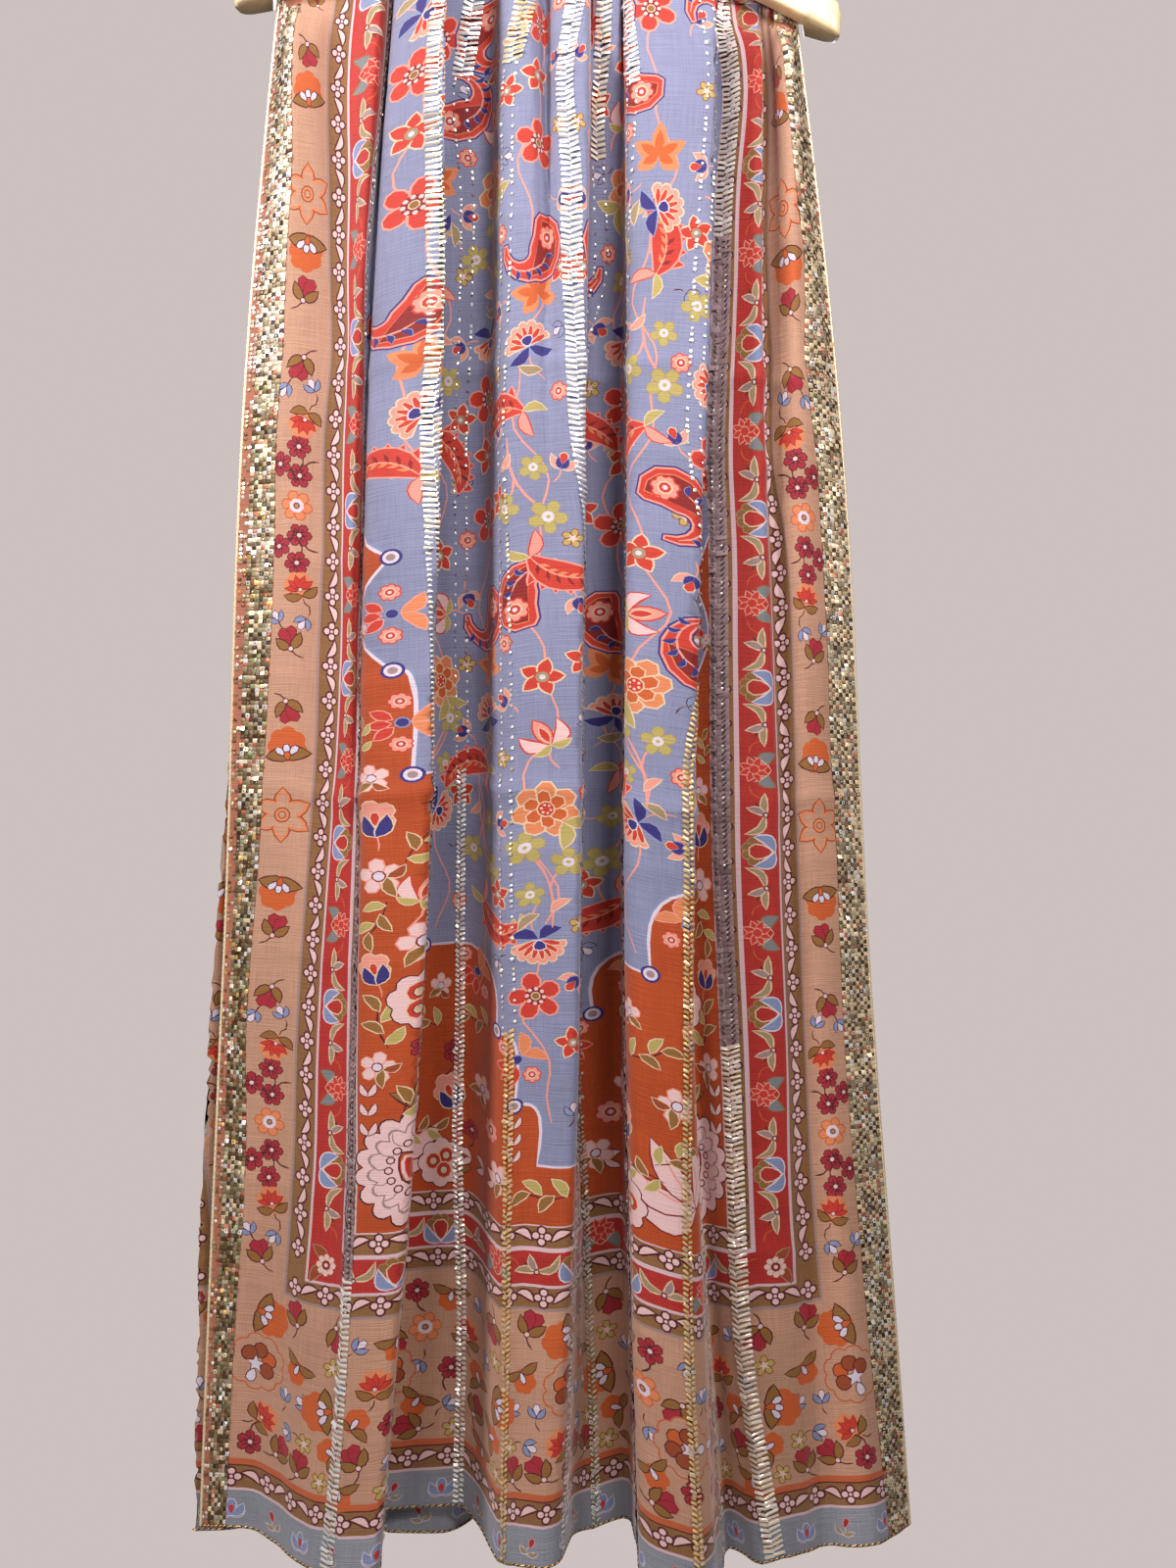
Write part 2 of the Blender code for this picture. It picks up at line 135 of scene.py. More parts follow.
# How far the print lies beyond its even place along the front's folds, by height.
PLACES = (
    0, 27, 60, 82, 109, 130, 176, 233, 289, 346, 402, 458, 515, 571, 684, 722, 733, 744, 777, WIDTH,
)
SLID = (
    (0, 0, -8, 0, 0, 1, 1, 14, -7, 3, 11, 9, -2, 0, 3, -3, -2, -2, -2, 0, 0),
    (140, 0, -6, 0, 0, 6, 6, 17, -4, 1, 7, 11, -2, 4, 9, -14, -8, -4, -5, -4, 0),
    (281, 0, -1, 4, 3, 6, 6, 17, -2, -9, 1, 11, -2, 12, 19, -9, -6, -2, -4, -4, 0),
    (353, 0, -4, 3, 0, -1, 1, 17, 0, -10, -1, 10, -6, 17, 24, -7, -1, 2, -2, -4, 0),
    (499, 0, 2, 7, 2, -6, -9, 17, 4, -13, -9, 9, -8, 16, 26, -6, 1, 4, 2, -1, 0),
    (572, 0, 4, 9, 5, -6, -18, 16, 4, -13, -8, 9, -8, 14, 24, -5, 3, 7, 3, -2, 0),
    (645, 0, 6, 8, 6, -6, -22, 16, 4, -13, -8, 9, -8, 11, 36, -4, 3, 7, 4, -1, 0),
    (718, 0, 6, 8, 3, -4, -21, 12, 4, -10, -7, 9, -8, 10, 32, -3, 3, 7, 3, -2, 0),
    (791, 0, 4, 5, 0, -5, -22, 8, 2, -7, -6, 1, -6, 9, 16, -3, -3, 0, -6, -4, 0),
    (862, 0, 6, 7, 0, -10, -28, 17, 9, 1, 3, 4, -2, 9, 14, 1, -3, 0, -2, -10, 0),
    (916, 0, 5, 3, -4, -13, -31, 18, 12, 7, 10, 8, 16, 10, 13, 3, 0, 0, -3, -5, 0),
    (985, 0, 6, -1, -6, -9, -26, 18, 16, 15, 18, 22, 18, 10, 12, 4, 2, 1, -2, -9, 0),
    (1055, 0, 3, -4, -9, 3, -14, 18, 17, 16, 24, 31, 17, 8, 11, 8, 8, 4, 1, -11, 0),
    (1126, 0, 3, -4, -9, 3, -8, 18, 17, 16, 24, 31, 17, 8, 11, 8, 8, 4, 1, -11, 0),
)
# Height over the hem on the even cloth, and the height of the print that hangs there.
HUNG = (
    (0, 0), (274, 274), (388, 394), (504, 514), (621, 634), (742, 755), (867, 875), (995, 995),
    (LENGTH, LENGTH),
)
# How much of the back fall's left edge is turned over to its front, up from the hem.
TURNED_HEIGHTS = (0, 230, 290, 420, 640, 820)
TURNED_WIDTHS = (72, 70, 60, 51, 46, 0)

# Packing creases: height over the hem, from and to across, how far it stands out, width.
CREASES = (
    (1012, 60, 500, 0.8, 6),
    (945, 200, 804, 0.9, 7),
    (852, 60, 804, 2.8, 6),
    (792, 430, 804, 1.2, 6),
    (716, 0, 330, 0.9, 7),
    (630, 0, 240, 1.2, 6),
    (549, 0, 804, 2.8, 6),
    (505, 260, 804, 1.0, 6),
    (430, 0, 380, 0.8, 7),
    (252, 0, 200, 1.3, 8),
    (218, 120, 804, 1.7, 8),
    (160, 300, 760, 0.8, 8),
)


# ---------------------------------------------------------------- folds
def smooth_through(heights, values, at):
    """Values at a height, read from a smooth curve through the table's rows."""
    heights = np.asarray(heights, float)
    values = np.asarray(values, float)
    slopes = np.gradient(values, heights, axis=0)
    k = int(np.clip(np.searchsorted(heights, at, "right") - 1, 0, len(heights) - 2))
    span = heights[k + 1] - heights[k]
    t = (at - heights[k]) / span
    return (
        values[k] * (1 + 2 * t) * (1 - t) ** 2
        + slopes[k] * span * t * (1 - t) ** 2
        + values[k + 1] * t * t * (3 - 2 * t)
        + slopes[k + 1] * span * t * t * (t - 1)
    )


def spline(points):
    """A rounded curve through the fold points, with the same steps in each fold."""
    ends = np.vstack([2 * points[0] - points[1], points, 2 * points[-1] - points[-2]])
    gaps = np.linalg.norm(np.diff(ends, axis=0), axis=1) ** 0.5
    knots = np.concatenate([[0], np.cumsum(gaps)])
    count = len(points) - 1
    k0, k1, k2, k3 = (knots[i : i + count, None, None] for i in range(4))
    p0, p1, p2, p3 = (ends[i : i + count, None, :] for i in range(4))
    t = k1 + (k2 - k1) * np.linspace(0, 1, SPLINE_STEPS, endpoint=False)[None, :, None]
    a1 = (k1 - t) / (k1 - k0) * p0 + (t - k0) / (k1 - k0) * p1
    a2 = (k2 - t) / (k2 - k1) * p1 + (t - k1) / (k2 - k1) * p2
    a3 = (k3 - t) / (k3 - k2) * p2 + (t - k2) / (k3 - k2) * p3
    b1 = (k2 - t) / (k2 - k0) * a1 + (t - k0) / (k2 - k0) * a2
    b2 = (k3 - t) / (k3 - k1) * a2 + (t - k1) / (k3 - k1) * a3
    curve = (k2 - t) / (k2 - k1) * b1 + (t - k1) / (k2 - k1) * b2
    return np.vstack([curve.reshape(-1, 2), points[-1:]])


def run_of(curve):
    """Distance along a curve at each of its points."""
    return np.concatenate([[0], np.cumsum(np.linalg.norm(np.diff(curve, axis=0), axis=1))])


def fitted_depth(points, nearest):
    """The fold points with their depths scaled until the section is one cloth width long."""
    low, high = DEPTH_SCALES
    for _ in range(HALVINGS):
        scale = (low + high) / 2
        tried = points.copy()
        tried[:, 1] = nearest + (points[:, 1] - nearest) * scale
        if run_of(spline(tried))[-1] < CLOTH_WIDTH:
            low = scale
        else:
            high = scale
    return tried


def front_section(height):
    """Fold points (across, forward) of the front fall at a share of its height."""
    table = np.array([row[1:5] for row in FOLDS], float).transpose(1, 0, 2) / 1000
    points = smooth_through(FOLD_HEIGHTS, table, height)
    nearest = BAR_SEAT + (VALLEY_GAP - BAR_SEAT) * min(1.0, height / FOLD_HEIGHTS[1])
    points[:, 1] = np.maximum(points[:, 1], nearest)
    return fitted_depth(points, nearest)


def back_section(height):
    """Fold points of the back fall: the same pleats, evened out and a little to the left."""
    front = front_section(height)
    opened = min(1.0, height / FOLD_HEIGHTS[2])
    opened = BACK_EVENNESS * opened * opened * (3 - 2 * opened)
    run = run_of(spline(front))
    share = run[::SPLINE_STEPS] / run[-1]
    even = front[0, 0] + (front[-1, 0] - front[0, 0]) * share
    points = front.copy()
    points[:, 0] += opened * (even - front[:, 0])
    points[:, 0] -= np.interp(height, SHIFT_HEIGHTS, BACK_SHIFTS)
    return fitted_depth(points, points[:, 1].min())


def bar_height(across):
    """Height of the tilted bar's axis, a distance across from the hanger's middle."""
    return -BAR_DROP * math.cos(HANGER_TILT) - across * math.tan(HANGER_TILT)


BAR_OFFSET = -BAR_DROP * math.sin(HANGER_TILT)


def pressed(curve, height, side):
    """The curve kept off the bar, and behind the hanger's arms, near the bar."""
    freed = np.clip((height - BESIDE_BAR[0]) / (BESIDE_BAR[1] - BESIDE_BAR[0]), 0, 1)
    nearest = BAR_SEAT + (PLANE_GAP - BAR_SEAT) * freed
    curve[:, 1] = np.maximum(curve[:, 1], nearest)
    if side < 0:
        outer = np.clip((np.abs(curve[:, 0]) - ARM_REACH + ARM_LEAD) / ARM_EASE, 0, 1)
        held = np.minimum(curve[:, 1], ARM_PASS)
        curve[:, 1] += (held - curve[:, 1]) * outer * (1 - freed)
    return curve


EVEN = np.arange(WIDTH + 1.0)


def slid(v):
    """Where each millimetre of the front's print lies along the folds at a height."""
    table = np.array(SLID, float)
    return EVEN + np.interp(EVEN, PLACES, smooth_through(table[:, 0], table[:, 1:], v))


def at_places(values, run, places):
    """Values along a curve, read off at places counted in millimetres of the cloth's width."""
    marks = places * run[-1] / WIDTH
    return np.stack([np.interp(marks, run, column) for column in values.T], axis=1)


def turned_over(points, count):
    """The back fall's points with its left edge, count of them, folded over in front."""
    if count:
        points[:count] = points[2 * count : count : -1]
        points[:count, 1] -= TURN_GAP * np.linspace(1, 0.1, count)
    return points


CREASE_END = 25  # a crease fades out over this length


def relief(u, v):
    """How far the cloth stands out from its main folds: packing creases and soft ripples."""
    out = np.zeros(np.broadcast(u, v).shape)
    for height, start, end, rise, width in CREASES:
        line = height + 2.5 * np.sin(u / 61.0 + height) + 1.2 * np.sin(u / 23.0)
        ends = np.clip((u - start) / CREASE_END, 0, 1) * np.clip((end - u) / CREASE_END, 0, 1)
        uneven = 0.7 + 0.3 * np.sin(u / 37.0 + 2 * height)
        out += rise * ends * uneven * np.exp(-np.abs(v - line) / width)
    # Fine upright ripples that come and go, and rounder dents between them.
    slow = 0.5 + 0.5 * np.sin(v / 170.0 + u / 90.0)
    out += 0.55 * slow * np.sin(u / 3.9 + 1.3 * np.sin(v / 140.0))
    out += 0.5 * np.sin(u / 7.3 + v / 310.0) * np.sin(v / 97.0 + u / 50.0)
    return out


def calm_edge(u, v):
    """The back fall's relief, flat where its edge is turned over."""
    return relief(u, v) * np.clip((u - 2 * TURNED_WIDTHS[0]) / 20, 0, 1)


class Stretch:
    """A smooth map from the flat print, in millimetres, to the hanging cloth."""

    def __init__(self, rows, marks, outward, rough):
        """rows: points for every millimetre of u at each v in marks. outward is 1 or -1."""
        fine = np.linspace(marks[0], marks[-1], FINE_ROWS)
        dense = np.empty((FINE_ROWS, WIDTH + 1, 3))
        for axis in range(3):
            for j in range(WIDTH + 1):
                dense[:, j, axis] = np.interp(fine, marks, rows[:, j, axis])
        self.first, self.step, self.outward = fine[0], fine[1] - fine[0], outward
        u, v = np.meshgrid(np.arange(WIDTH + 1), fine)
        height = rough(u, v) if rough else np.zeros(u.shape)
        self.points = dense + self.normals_of(dense) * height[..., None] / 1000
        self.normals = self.normals_of(self.points)

    def normals_of(self, points):
        normal = np.cross(np.gradient(points, axis=1), np.gradient(points, axis=0)) * self.outward
        return normal / np.linalg.norm(normal, axis=2, keepdims=True)

    def read(self, grid, u, v):
        """A value of a grid at a place of the print, between its four nearest points."""
        row = np.clip((np.asarray(v) - self.first) / self.step, 0, grid.shape[0] - 1.001)
        column = np.clip(np.asarray(u), 0, WIDTH - 0.001)
        i, j = row.astype(int), column.astype(int)
        s, t = (row - i)[..., None], (column - j)[..., None]
        low = grid[i, j] * (1 - t) + grid[i, j + 1] * t
        high = grid[i + 1, j] * (1 - t) + grid[i + 1, j + 1] * t
        return low * (1 - s) + high * s

    def normal(self, u, v):
        normal = self.read(self.normals, u, v)
        return normal / np.linalg.norm(normal, axis=-1, keepdims=True)

    def place(self, u, v, lift=0.0):
        """Points in the room, lifted off the cloth by lift millimetres."""
        lift = np.asarray(lift, float)[..., None] / 1000
        return self.read(self.points, u, v) + self.normal(u, v) * lift


def fall(section_at, side):
    """The map of one fall. The side is -1 for the front and 1 for the back."""
    heights = np.linspace(1, 0, FALL_ROWS)
    top = spline(section_at(0.0))
    start = bar_height(top[:, 0]) - SEAM_GAP / 2
    hem = np.full(len(top), -BAR_DROP - FRONT_FALL - BACK_DROP)
    if side < 0:
        lift = np.array([row[5] for row in FOLDS], float) / 1000
        spots = np.arange(len(top)) / SPLINE_STEPS
        hem = np.interp(spots, np.arange(len(FOLDS)), lift) - BAR_DROP - FRONT_FALL
    rows = []
    for height in heights:
        curve = spline(section_at(height))
        run = run_of(curve)
        curve = pressed(curve, height, side)
        z = start + (hem - start) * height
        points = np.column_stack([curve[:, 0] + BAR_OFFSET, side * curve[:, 1], z])
        level = (1 - height) * LENGTH
        if side < 0:
            rows.append(at_places(points, run, slid(level)))
        else:
            over = np.interp(level, TURNED_HEIGHTS, TURNED_WIDTHS)
            room = np.maximum(EVEN - over, 0) * WIDTH / (WIDTH - over)
            rows.append(turned_over(at_places(points, run, room), round(over)))
    marks = np.interp((1 - heights) * LENGTH, *np.array(HUNG, float).T)
    return Stretch(np.array(rows), marks, -side, relief if side < 0 else calm_edge)


def over_bar():
    """The map of the stretch over the bar, from the front fall's top to the back one's."""
    front, back = spline(front_section(0.0)), spline(back_section(0.0))
    run = run_of(front)
    front, back = pressed(front, 0.0, -1), pressed(back, 0.0, 1)
    axis = bar_height(front[:, 0]) + SEAM_GAP / 2
    turns = np.linspace(0, math.pi, ARCH_ROWS)
    rows = []
    for turn in turns:
        share = turn / math.pi
        depth = front[:, 1] if turn < math.pi / 2 else back[:, 1]
        rise = BAR_SEAT + (depth - BAR_SEAT) * ARCH_RISE
        across = front[:, 0] + (back[:, 0] - front[:, 0]) * share + BAR_OFFSET
        points = np.column_stack([across, -depth * math.cos(turn), axis + rise * math.sin(turn)])
        places = slid(LENGTH) + (EVEN - slid(LENGTH)) * share
        rows.append(at_places(points, run, places))
    return Stretch(np.array(rows), LENGTH + turns / math.pi * 2 * OVER, 1, None)


# ---------------------------------------------------------------- colours
def ink(red, green, blue):
    """A colour given as a screen shows it, from 0 to 255, turned into linear light."""
    return tuple((value / 255) ** 2.2 for value in (red, green, blue))


GROUNDS = {
    "peach": ink(168, 126, 104),
    "olive band": ink(122, 84, 50),
    "red band": ink(156, 36, 30),
    "orange field": ink(157, 62, 17),
    "blue field": ink(117, 119, 147),
    "lavender hem": ink(124, 126, 136),
    "gota ground": ink(150, 92, 72),
}
INKS = {
    "soft orange": ink(172, 84, 50),
    "grey line": ink(140, 116, 116),
    "white line": ink(192, 162, 170),
    "maroon": ink(76, 24, 30),
    "blossom": ink(206, 170, 170),
    "leaf olive": ink(128, 88, 44),
    "crimson": ink(146, 34, 48),
    "orange blob": ink(178, 82, 38),
    "pale orange": ink(196, 116, 78),
    "nut brown": ink(134, 62, 34),
    "flower red": ink(176, 50, 38),
    "dark red": ink(118, 26, 26),
    "lilac white": ink(196, 182, 196),
    "blue petal": ink(116, 126, 160),
    "cream": ink(200, 172, 144),
    "grey green": ink(142, 122, 94),
    "navy": ink(48, 40, 104),
    "pink": ink(204, 132, 118),
    "yellow green": ink(160, 144, 84),
    "dusty blue": ink(112, 112, 116),
}


# ---------------------------------------------------------------- shapes of the print
def leaf(length, width, bend=0.0, steps=4):
    """A pointed leaf from the origin up to (0, length), its middle bent sideways."""
    t = np.linspace(0, 1, steps + 1)
    middle = bend * np.sin(math.pi * t)
    half = width / 2 * np.sin(math.pi * t**0.9) ** 0.85
    right = np.column_stack([middle + half, length * t])
    left = np.column_stack([middle - half, length * t])[-2:0:-1]
    return np.vstack([right, left])


def petal(length, width, points=9):
    """A rounded petal with a narrow foot at the origin."""
    a = np.linspace(0, 2 * math.pi, points, endpoint=False)
    share = (1 - np.cos(a)) / 2
    return np.column_stack([width / 2 * np.sin(a) * (0.45 + 0.65 * share), length * share])


def disc(radius, points=8):
    """A round of a few corners."""
    a = np.linspace(0, 2 * math.pi, points, endpoint=False) + 0.2
    return radius * np.column_stack([np.cos(a), np.sin(a)])


def scalloped(radius, lobes, depth=0.18, points=4, start=0.0, turn=2 * math.pi):
    """A round outline whose edge swells out in lobes."""
    a = start + np.linspace(0, turn, lobes * points, endpoint=False)
    swell = np.abs(np.sin(lobes * (a - start) / turn * math.pi)) ** 0.7
    reach = radius * (1 - depth + depth * swell)
    return np.column_stack([reach * np.cos(a), reach * np.sin(a)])


def star(outer, inner, tips, start=0.0):
    """A star with this many tips."""
    a = start + np.linspace(0, 2 * math.pi, 2 * tips, endpoint=False)
    reach = np.where(np.arange(2 * tips) % 2, inner, outer)
    return np.column_stack([reach * np.cos(a), reach * np.sin(a)])


def arc(start, end, bulge, steps=5):
    """Points from start to end, bowed sideways by bulge."""
    start, end = np.array(start, float), np.array(end, float)
    across = np.array([start[1] - end[1], end[0] - start[0]])
    across /= max(np.linalg.norm(across), 1e-9)
    t = np.linspace(0, 1, steps + 1)[:, None]
    return start + (end - start) * t + across * bulge * np.sin(math.pi * t)


def box(left, low, right, high):
    """An upright rectangle."""
    return np.array([(left, low), (right, low), (right, high), (left, high)], float)


def turned(points, degrees):
    """Points turned about the origin, from across towards up."""
    c, s = math.cos(math.radians(degrees)), math.sin(math.radians(degrees))
    return points @ np.array([[c, s], [-s, c]])


def spoke(radius, degrees):
    """The point at this distance and angle from the middle of a motif."""
    return turned(np.array([radius, 0.0]), degrees)


def grown(points, width):
    """The outline moved out by width all round."""
    ahead = np.roll(points, -1, axis=0) - points
    ahead /= np.maximum(np.linalg.norm(ahead, axis=1, keepdims=True), 1e-9)
    out = np.column_stack([ahead[:, 1], -ahead[:, 0]])
    out = out + np.roll(out, 1, axis=0)
    out /= np.maximum(np.linalg.norm(out, axis=1, keepdims=True), 0.45)
    after = np.roll(points, -1, axis=0)
    area = (points[:, 0] * after[:, 1] - points[:, 1] * after[:, 0]).sum()
    return points + out * width * (1 if area > 0 else -1)


def ribbon(path, width):
    """A stem or line of some width along a path, narrower at its ends."""
    path = np.asarray(path, float)
    ahead = np.gradient(path, axis=0)
    ahead /= np.linalg.norm(ahead, axis=1, keepdims=True)
    side = np.column_stack([-ahead[:, 1], ahead[:, 0]])
    half = np.full(len(path), width / 2)
    half[[0, -1]] *= 0.5
    return np.vstack([path + side * half[:, None], (path - side * half[:, None])[::-1]])


def curled(length, curl, widths):
    """The points and headings of a curling spine, and the outline of half widths round it."""
    share = np.linspace(0, 1, len(widths))
    heading = np.radians(curl) * share**1.2
    ahead = np.column_stack([-np.sin(heading), np.cos(heading)])
    steps = ahead[1:] * length / (len(widths) - 1)
    spine = np.vstack([[(0.0, 0.0)], np.cumsum(steps, axis=0)])
    side = np.column_stack([ahead[:, 1], -ahead[:, 0]]) * np.array(widths, float)[:, None]
    return spine, np.degrees(heading), np.vstack([spine + side, (spine - side)[::-1]])


class Pen:
    """Puts shapes on the print, from a place of its own, turned, sized and flipped."""

    def __init__(self, shapes, at=(0, 0), turn=0.0, size=1.0, flip=False):
        self.shapes, self.at, self.turn = shapes, np.array(at, float), turn
        self.size, self.flip = size, flip

    def fill(self, points, colour, at=(0, 0), turn=0.0):
        """One shape of one colour, turned and then moved within the motif."""
        points = turned(points, turn) + np.array(at, float)
        if self.flip:
            points = points * (-1, 1)
        self.shapes.append((turned(points * self.size, self.turn) + self.at, colour))

    def edged(self, points, colour, edge, width=0.8, at=(0, 0), turn=0.0):
        """A shape in an outline of another colour."""
        self.fill(grown(points, width), edge, at, turn)
        self.fill(points, colour, at, turn)

    def moved(self, at, size=1.0):
        """A pen at a place of this one's own plane."""
        place = np.array(at, float) * (-1 if self.flip else 1, 1)
        place = turned(place * self.size, self.turn) + self.at
        return Pen(self.shapes, place, self.turn, self.size * size, self.flip)

    def stem(self, path, colour, width=0.9):
        """A thin line along a path."""
        self.fill(ribbon(path, width), colour)

    def ring(self, at, colour, edge, radius=1.6, width=0.7, points=7):
        """A small round in an outline."""
        self.edged(disc(radius, points), colour, edge, width, at)

    def petals(self, count, shape, colour, edge, width, start=0.0, at=(0, 0)):
        """Equal petals all round a point."""
        for k in range(count):
            self.edged(shape, colour, edge, width, at, start + 360 / count * k)

    def pair(self, shape, colour, edge, width, at, spread):
        """Two leaves from one foot, mirrored about the upright."""
        self.edged(shape * (-1, 1), colour, edge, width, at, spread)
        self.edged(shape, colour, edge, width, at, -spread)


# ---------------------------------------------------------------- motifs
def chain_flower(pen):
    """Four pale rounds in dark outline, touching a small ring."""
    for radius, colour in ((3.75, "maroon"), (2.3, "blossom")):
        for k in range(4):
            pen.fill(disc(radius, 7), colour, spoke(3.9, 90 * k), 90 * k)
    pen.ring((0, 0), "blossom", "maroon", 1.2, 1.1, 6)


def chain_leaf(pen):
    """One curved pale leaf in dark outline."""
    pen.edged(leaf(13.2, 4.4, 2.4, 5), "blossom", "maroon", 1.4, (0, -6.6))


def red_flower(pen):
    """Six notched red petals round a pale dot, on a short curved stem."""
    pen.stem(arc((0, -5), (-6, -16), 2.5, 4), "maroon", 1.1)
    pen.petals(6, petal(8.2, 6.4, 8), "crimson", "maroon", 0.75)
    for k in range(6):
        pen.fill(leaf(6.6, 1.2, 0, 2), "maroon", (0, 0), 60 * k)
    pen.ring((0, 0), "blossom", "maroon", 1.6, 0.6)


def eye_flower(pen):
    """Outlined orange petals round a white eye with a dark pupil."""
    pen.petals(6, petal(10.4, 8.0, 8), "pale orange", "soft orange", 0.9, 20)
    pen.edged(scalloped(5.0, 8, 0.12, 2), "lilac white", "pale orange", 0.5)
    pen.fill(disc(2.4, 8), "nut brown")
    pen.fill(disc(1.3, 6), "grey green")


def big_flower(pen):
    """A large open flower drawn in brown outline, with a double round centre."""
    pen.petals(6, leaf(20, 12.0), "pale orange", "nut brown", 1.0)
    pen.petals(6, leaf(17.5, 8.6), "peach", "pale orange", 0.4)
    pen.edged(disc(4.8, 10), "pale orange", "nut brown", 1.0)
    pen.edged(disc(2.2, 8), "peach", "nut brown", 0.8)


def bud(pen):
    """A crimson heart-shaped bud between two leaves, with a white dot and a stem."""
    pen.stem(arc((0, -2), (-7, -10), 1.5, 4), "maroon")
    pen.pair(petal(13.8, 9.0, 8), "crimson", "dark red", 0.8, (0, 0.5), 17)
    pen.pair(leaf(13.4, 5.8, 1.0), "leaf olive", "maroon", 0.95, (0, -2), 42)
    pen.ring((0, -2), "blossom", "maroon", 1.6)


def blob_flower(pen):
    """A soft orange bloom under two olive leaves, with three white petals."""
    pen.fill(scalloped(13.5, 7, 0.13, 4), "orange blob", (0, -6))
    pen.pair(leaf(15.5, 8.6, 2.4, 5), "leaf olive", "maroon", 1.0, (0, 5), 104)
    for k in (-1, 0, 1):
        pen.edged(petal(8.2, 5.2, 7), "lilac white", "maroon", 0.7, (1.8 * k, 2), 180 + 40 * k)
    pen.edged(petal(6.2, 5.2, 7), "orange blob", "maroon", 0.7, (0, 5.5), 180)


def drop_flower(pen):
    """A small orange bloom with one white drop between two slim leaves."""
    pen.fill(scalloped(8.6, 6, 0.13, 4), "orange blob", (0, -5))
    pen.pair(leaf(13.5, 5.6, 1.5), "leaf olive", "maroon", 0.75, (0, 1), 78)
    pen.edged(petal(7.4, 4.2, 7), "lilac white", "maroon", 0.7, (0, 1), 180)


def tulip(pen):
    """A small blue and white bud on a dark curved stem."""
    pen.stem(arc((0, -2), (-3, -10), 1.6, 4), "maroon", 0.8)
    pen.edged(petal(8.4, 5.6, 7), "lilac white", "maroon", 0.6, (0, -1))
    pen.pair(leaf(9.0, 3.6, 0.8), "blue petal", "maroon", 0.6, (0, -2), 38)


def blue_bud(pen):
    """A navy and pink bud between pale leaves, for the gaps of the field."""
    pen.stem(arc((0, -2), (-3, -13), 1.6, 4), "pink", 1.0)
    pen.pair(leaf(12.5, 5.0, 1.2), "pink", "cream", 0.7, (0, -3), 46)
    pen.edged(petal(10.5, 6.6, 8), "flower red", "cream", 0.7, (0, -2))
    pen.pair(leaf(8.5, 3.6, 1.0), "navy", "blue petal", 0.5, (0, -3), 22)


def fan_tulip(pen):
    """A half-open orange and red bloom over a pair of olive leaves."""
    pen.stem(arc((0, -6), (-3, -14), 1.5, 4), "maroon")
    pen.fill(scalloped(10.5, 7, 0.16, 4), "pale orange", (0, 3))
    for k in range(-2, 3):
        pen.edged(leaf(10.5, 4.0), "flower red", "dark red", 0.6, (0, 0), 34 * k)
    pen.ring((0, 0), "blossom", "dark red", 1.3)
    pen.pair(leaf(12.5, 5.6, 1.6), "leaf olive", "maroon", 0.75, (0, -5), 70)


def olive_flower(pen):
    """Five yellow-green petals round a pale star."""
    pen.petals(5, petal(6.6, 4.8, 7), "yellow green", "nut brown", 0.8)
    pen.fill(star(3.4, 1.4, 5), "blossom")


def grape_cluster(pen):
    """Brown-orange rounds with a pale star, inside a wide scalloped outline."""
    pen.edged(scalloped(19.5, 9, 0.13, 4), "peach", "soft orange", 1.1)
    for k, degrees in enumerate((20, 80, 140, -40)):
        at = spoke(8.2, degrees)
        pen.edged(disc(5.0, 9), "nut brown" if k else "orange blob", "maroon", 0.8, at)
    pen.edged(star(6.0, 2.8, 5, 0.3), "lilac white", "maroon", 0.7, (-2, -2))
    pen.edged(petal(9.0, 7.5, 8), "lilac white", "maroon", 0.7, (-3, -6), 160)


def sprig(pen):
    """Slim pale leaves and a dark red one round a small ring, on a thin vine."""
    pen.stem(arc((4, -1), (3, -15), -4, 5), "orange blob", 0.8)
    pen.stem(arc((1, 12), (-7, 22), 3, 4), "orange blob", 0.7)
    pen.edged(leaf(12.0, 3.6, -0.8), "dark red", "nut brown", 0.6, (3, 0), 34)
    pen.edged(leaf(15.5, 4.2, -1.0), "grey green", "cream", 0.9, (3, 0), 2)
    pen.edged(leaf(12.5, 4.4, 1.0), "grey line", "cream", 0.9, (3, 0), 68)
    pen.edged(leaf(19.0, 4.0, -4.6, 6), "grey green", "cream", 0.9, (2.5, 0), 140)
    pen.ring((3, 0), "blossom", "maroon", 1.3, 0.9)


def blue_lotus(pen):
    """Two blue petals cupping a red heart, with small olive petals behind."""
    for at in ((-5.0, 7.0), (-8.4, 2.6), (-8.4, -2.6), (-5.0, -7.0)):
        pen.edged(disc(3.4, 7), "leaf olive", "grey green", 0.7, at)
    pen.edged(petal(14.5, 12.5, 9), "red band", "cream", 0.9, (7.0, 0), 90)
    for side in (-1, 1):
        shape = leaf(17.5, 6.6, side * 4.0, 6)
        pen.edged(shape, "blue petal", "lilac white", 1.0, (9.5, 0), 90 - 38 * side)


def star_lotus(pen):
    """A pink star on a pair of soft blue leaves."""
    for side in (-1, 1):
        shape = leaf(17.0, 8.5, side * -3, 6)
        pen.edged(shape, "dusty blue", "leaf olive", 0.8, (-1, 0), -90 + 46 * side)
        pen.stem(arc((7, 0), (-4, side * 9), side * -1.5, 4), "cream", 0.8)
    pen.petals(8, leaf(9.4, 4.2), "flower red", "pink", 0.7, 22, (-4, 0))
    pen.edged(disc(3.0, 8), "flower red", "pink", 0.9, (-4, 0))


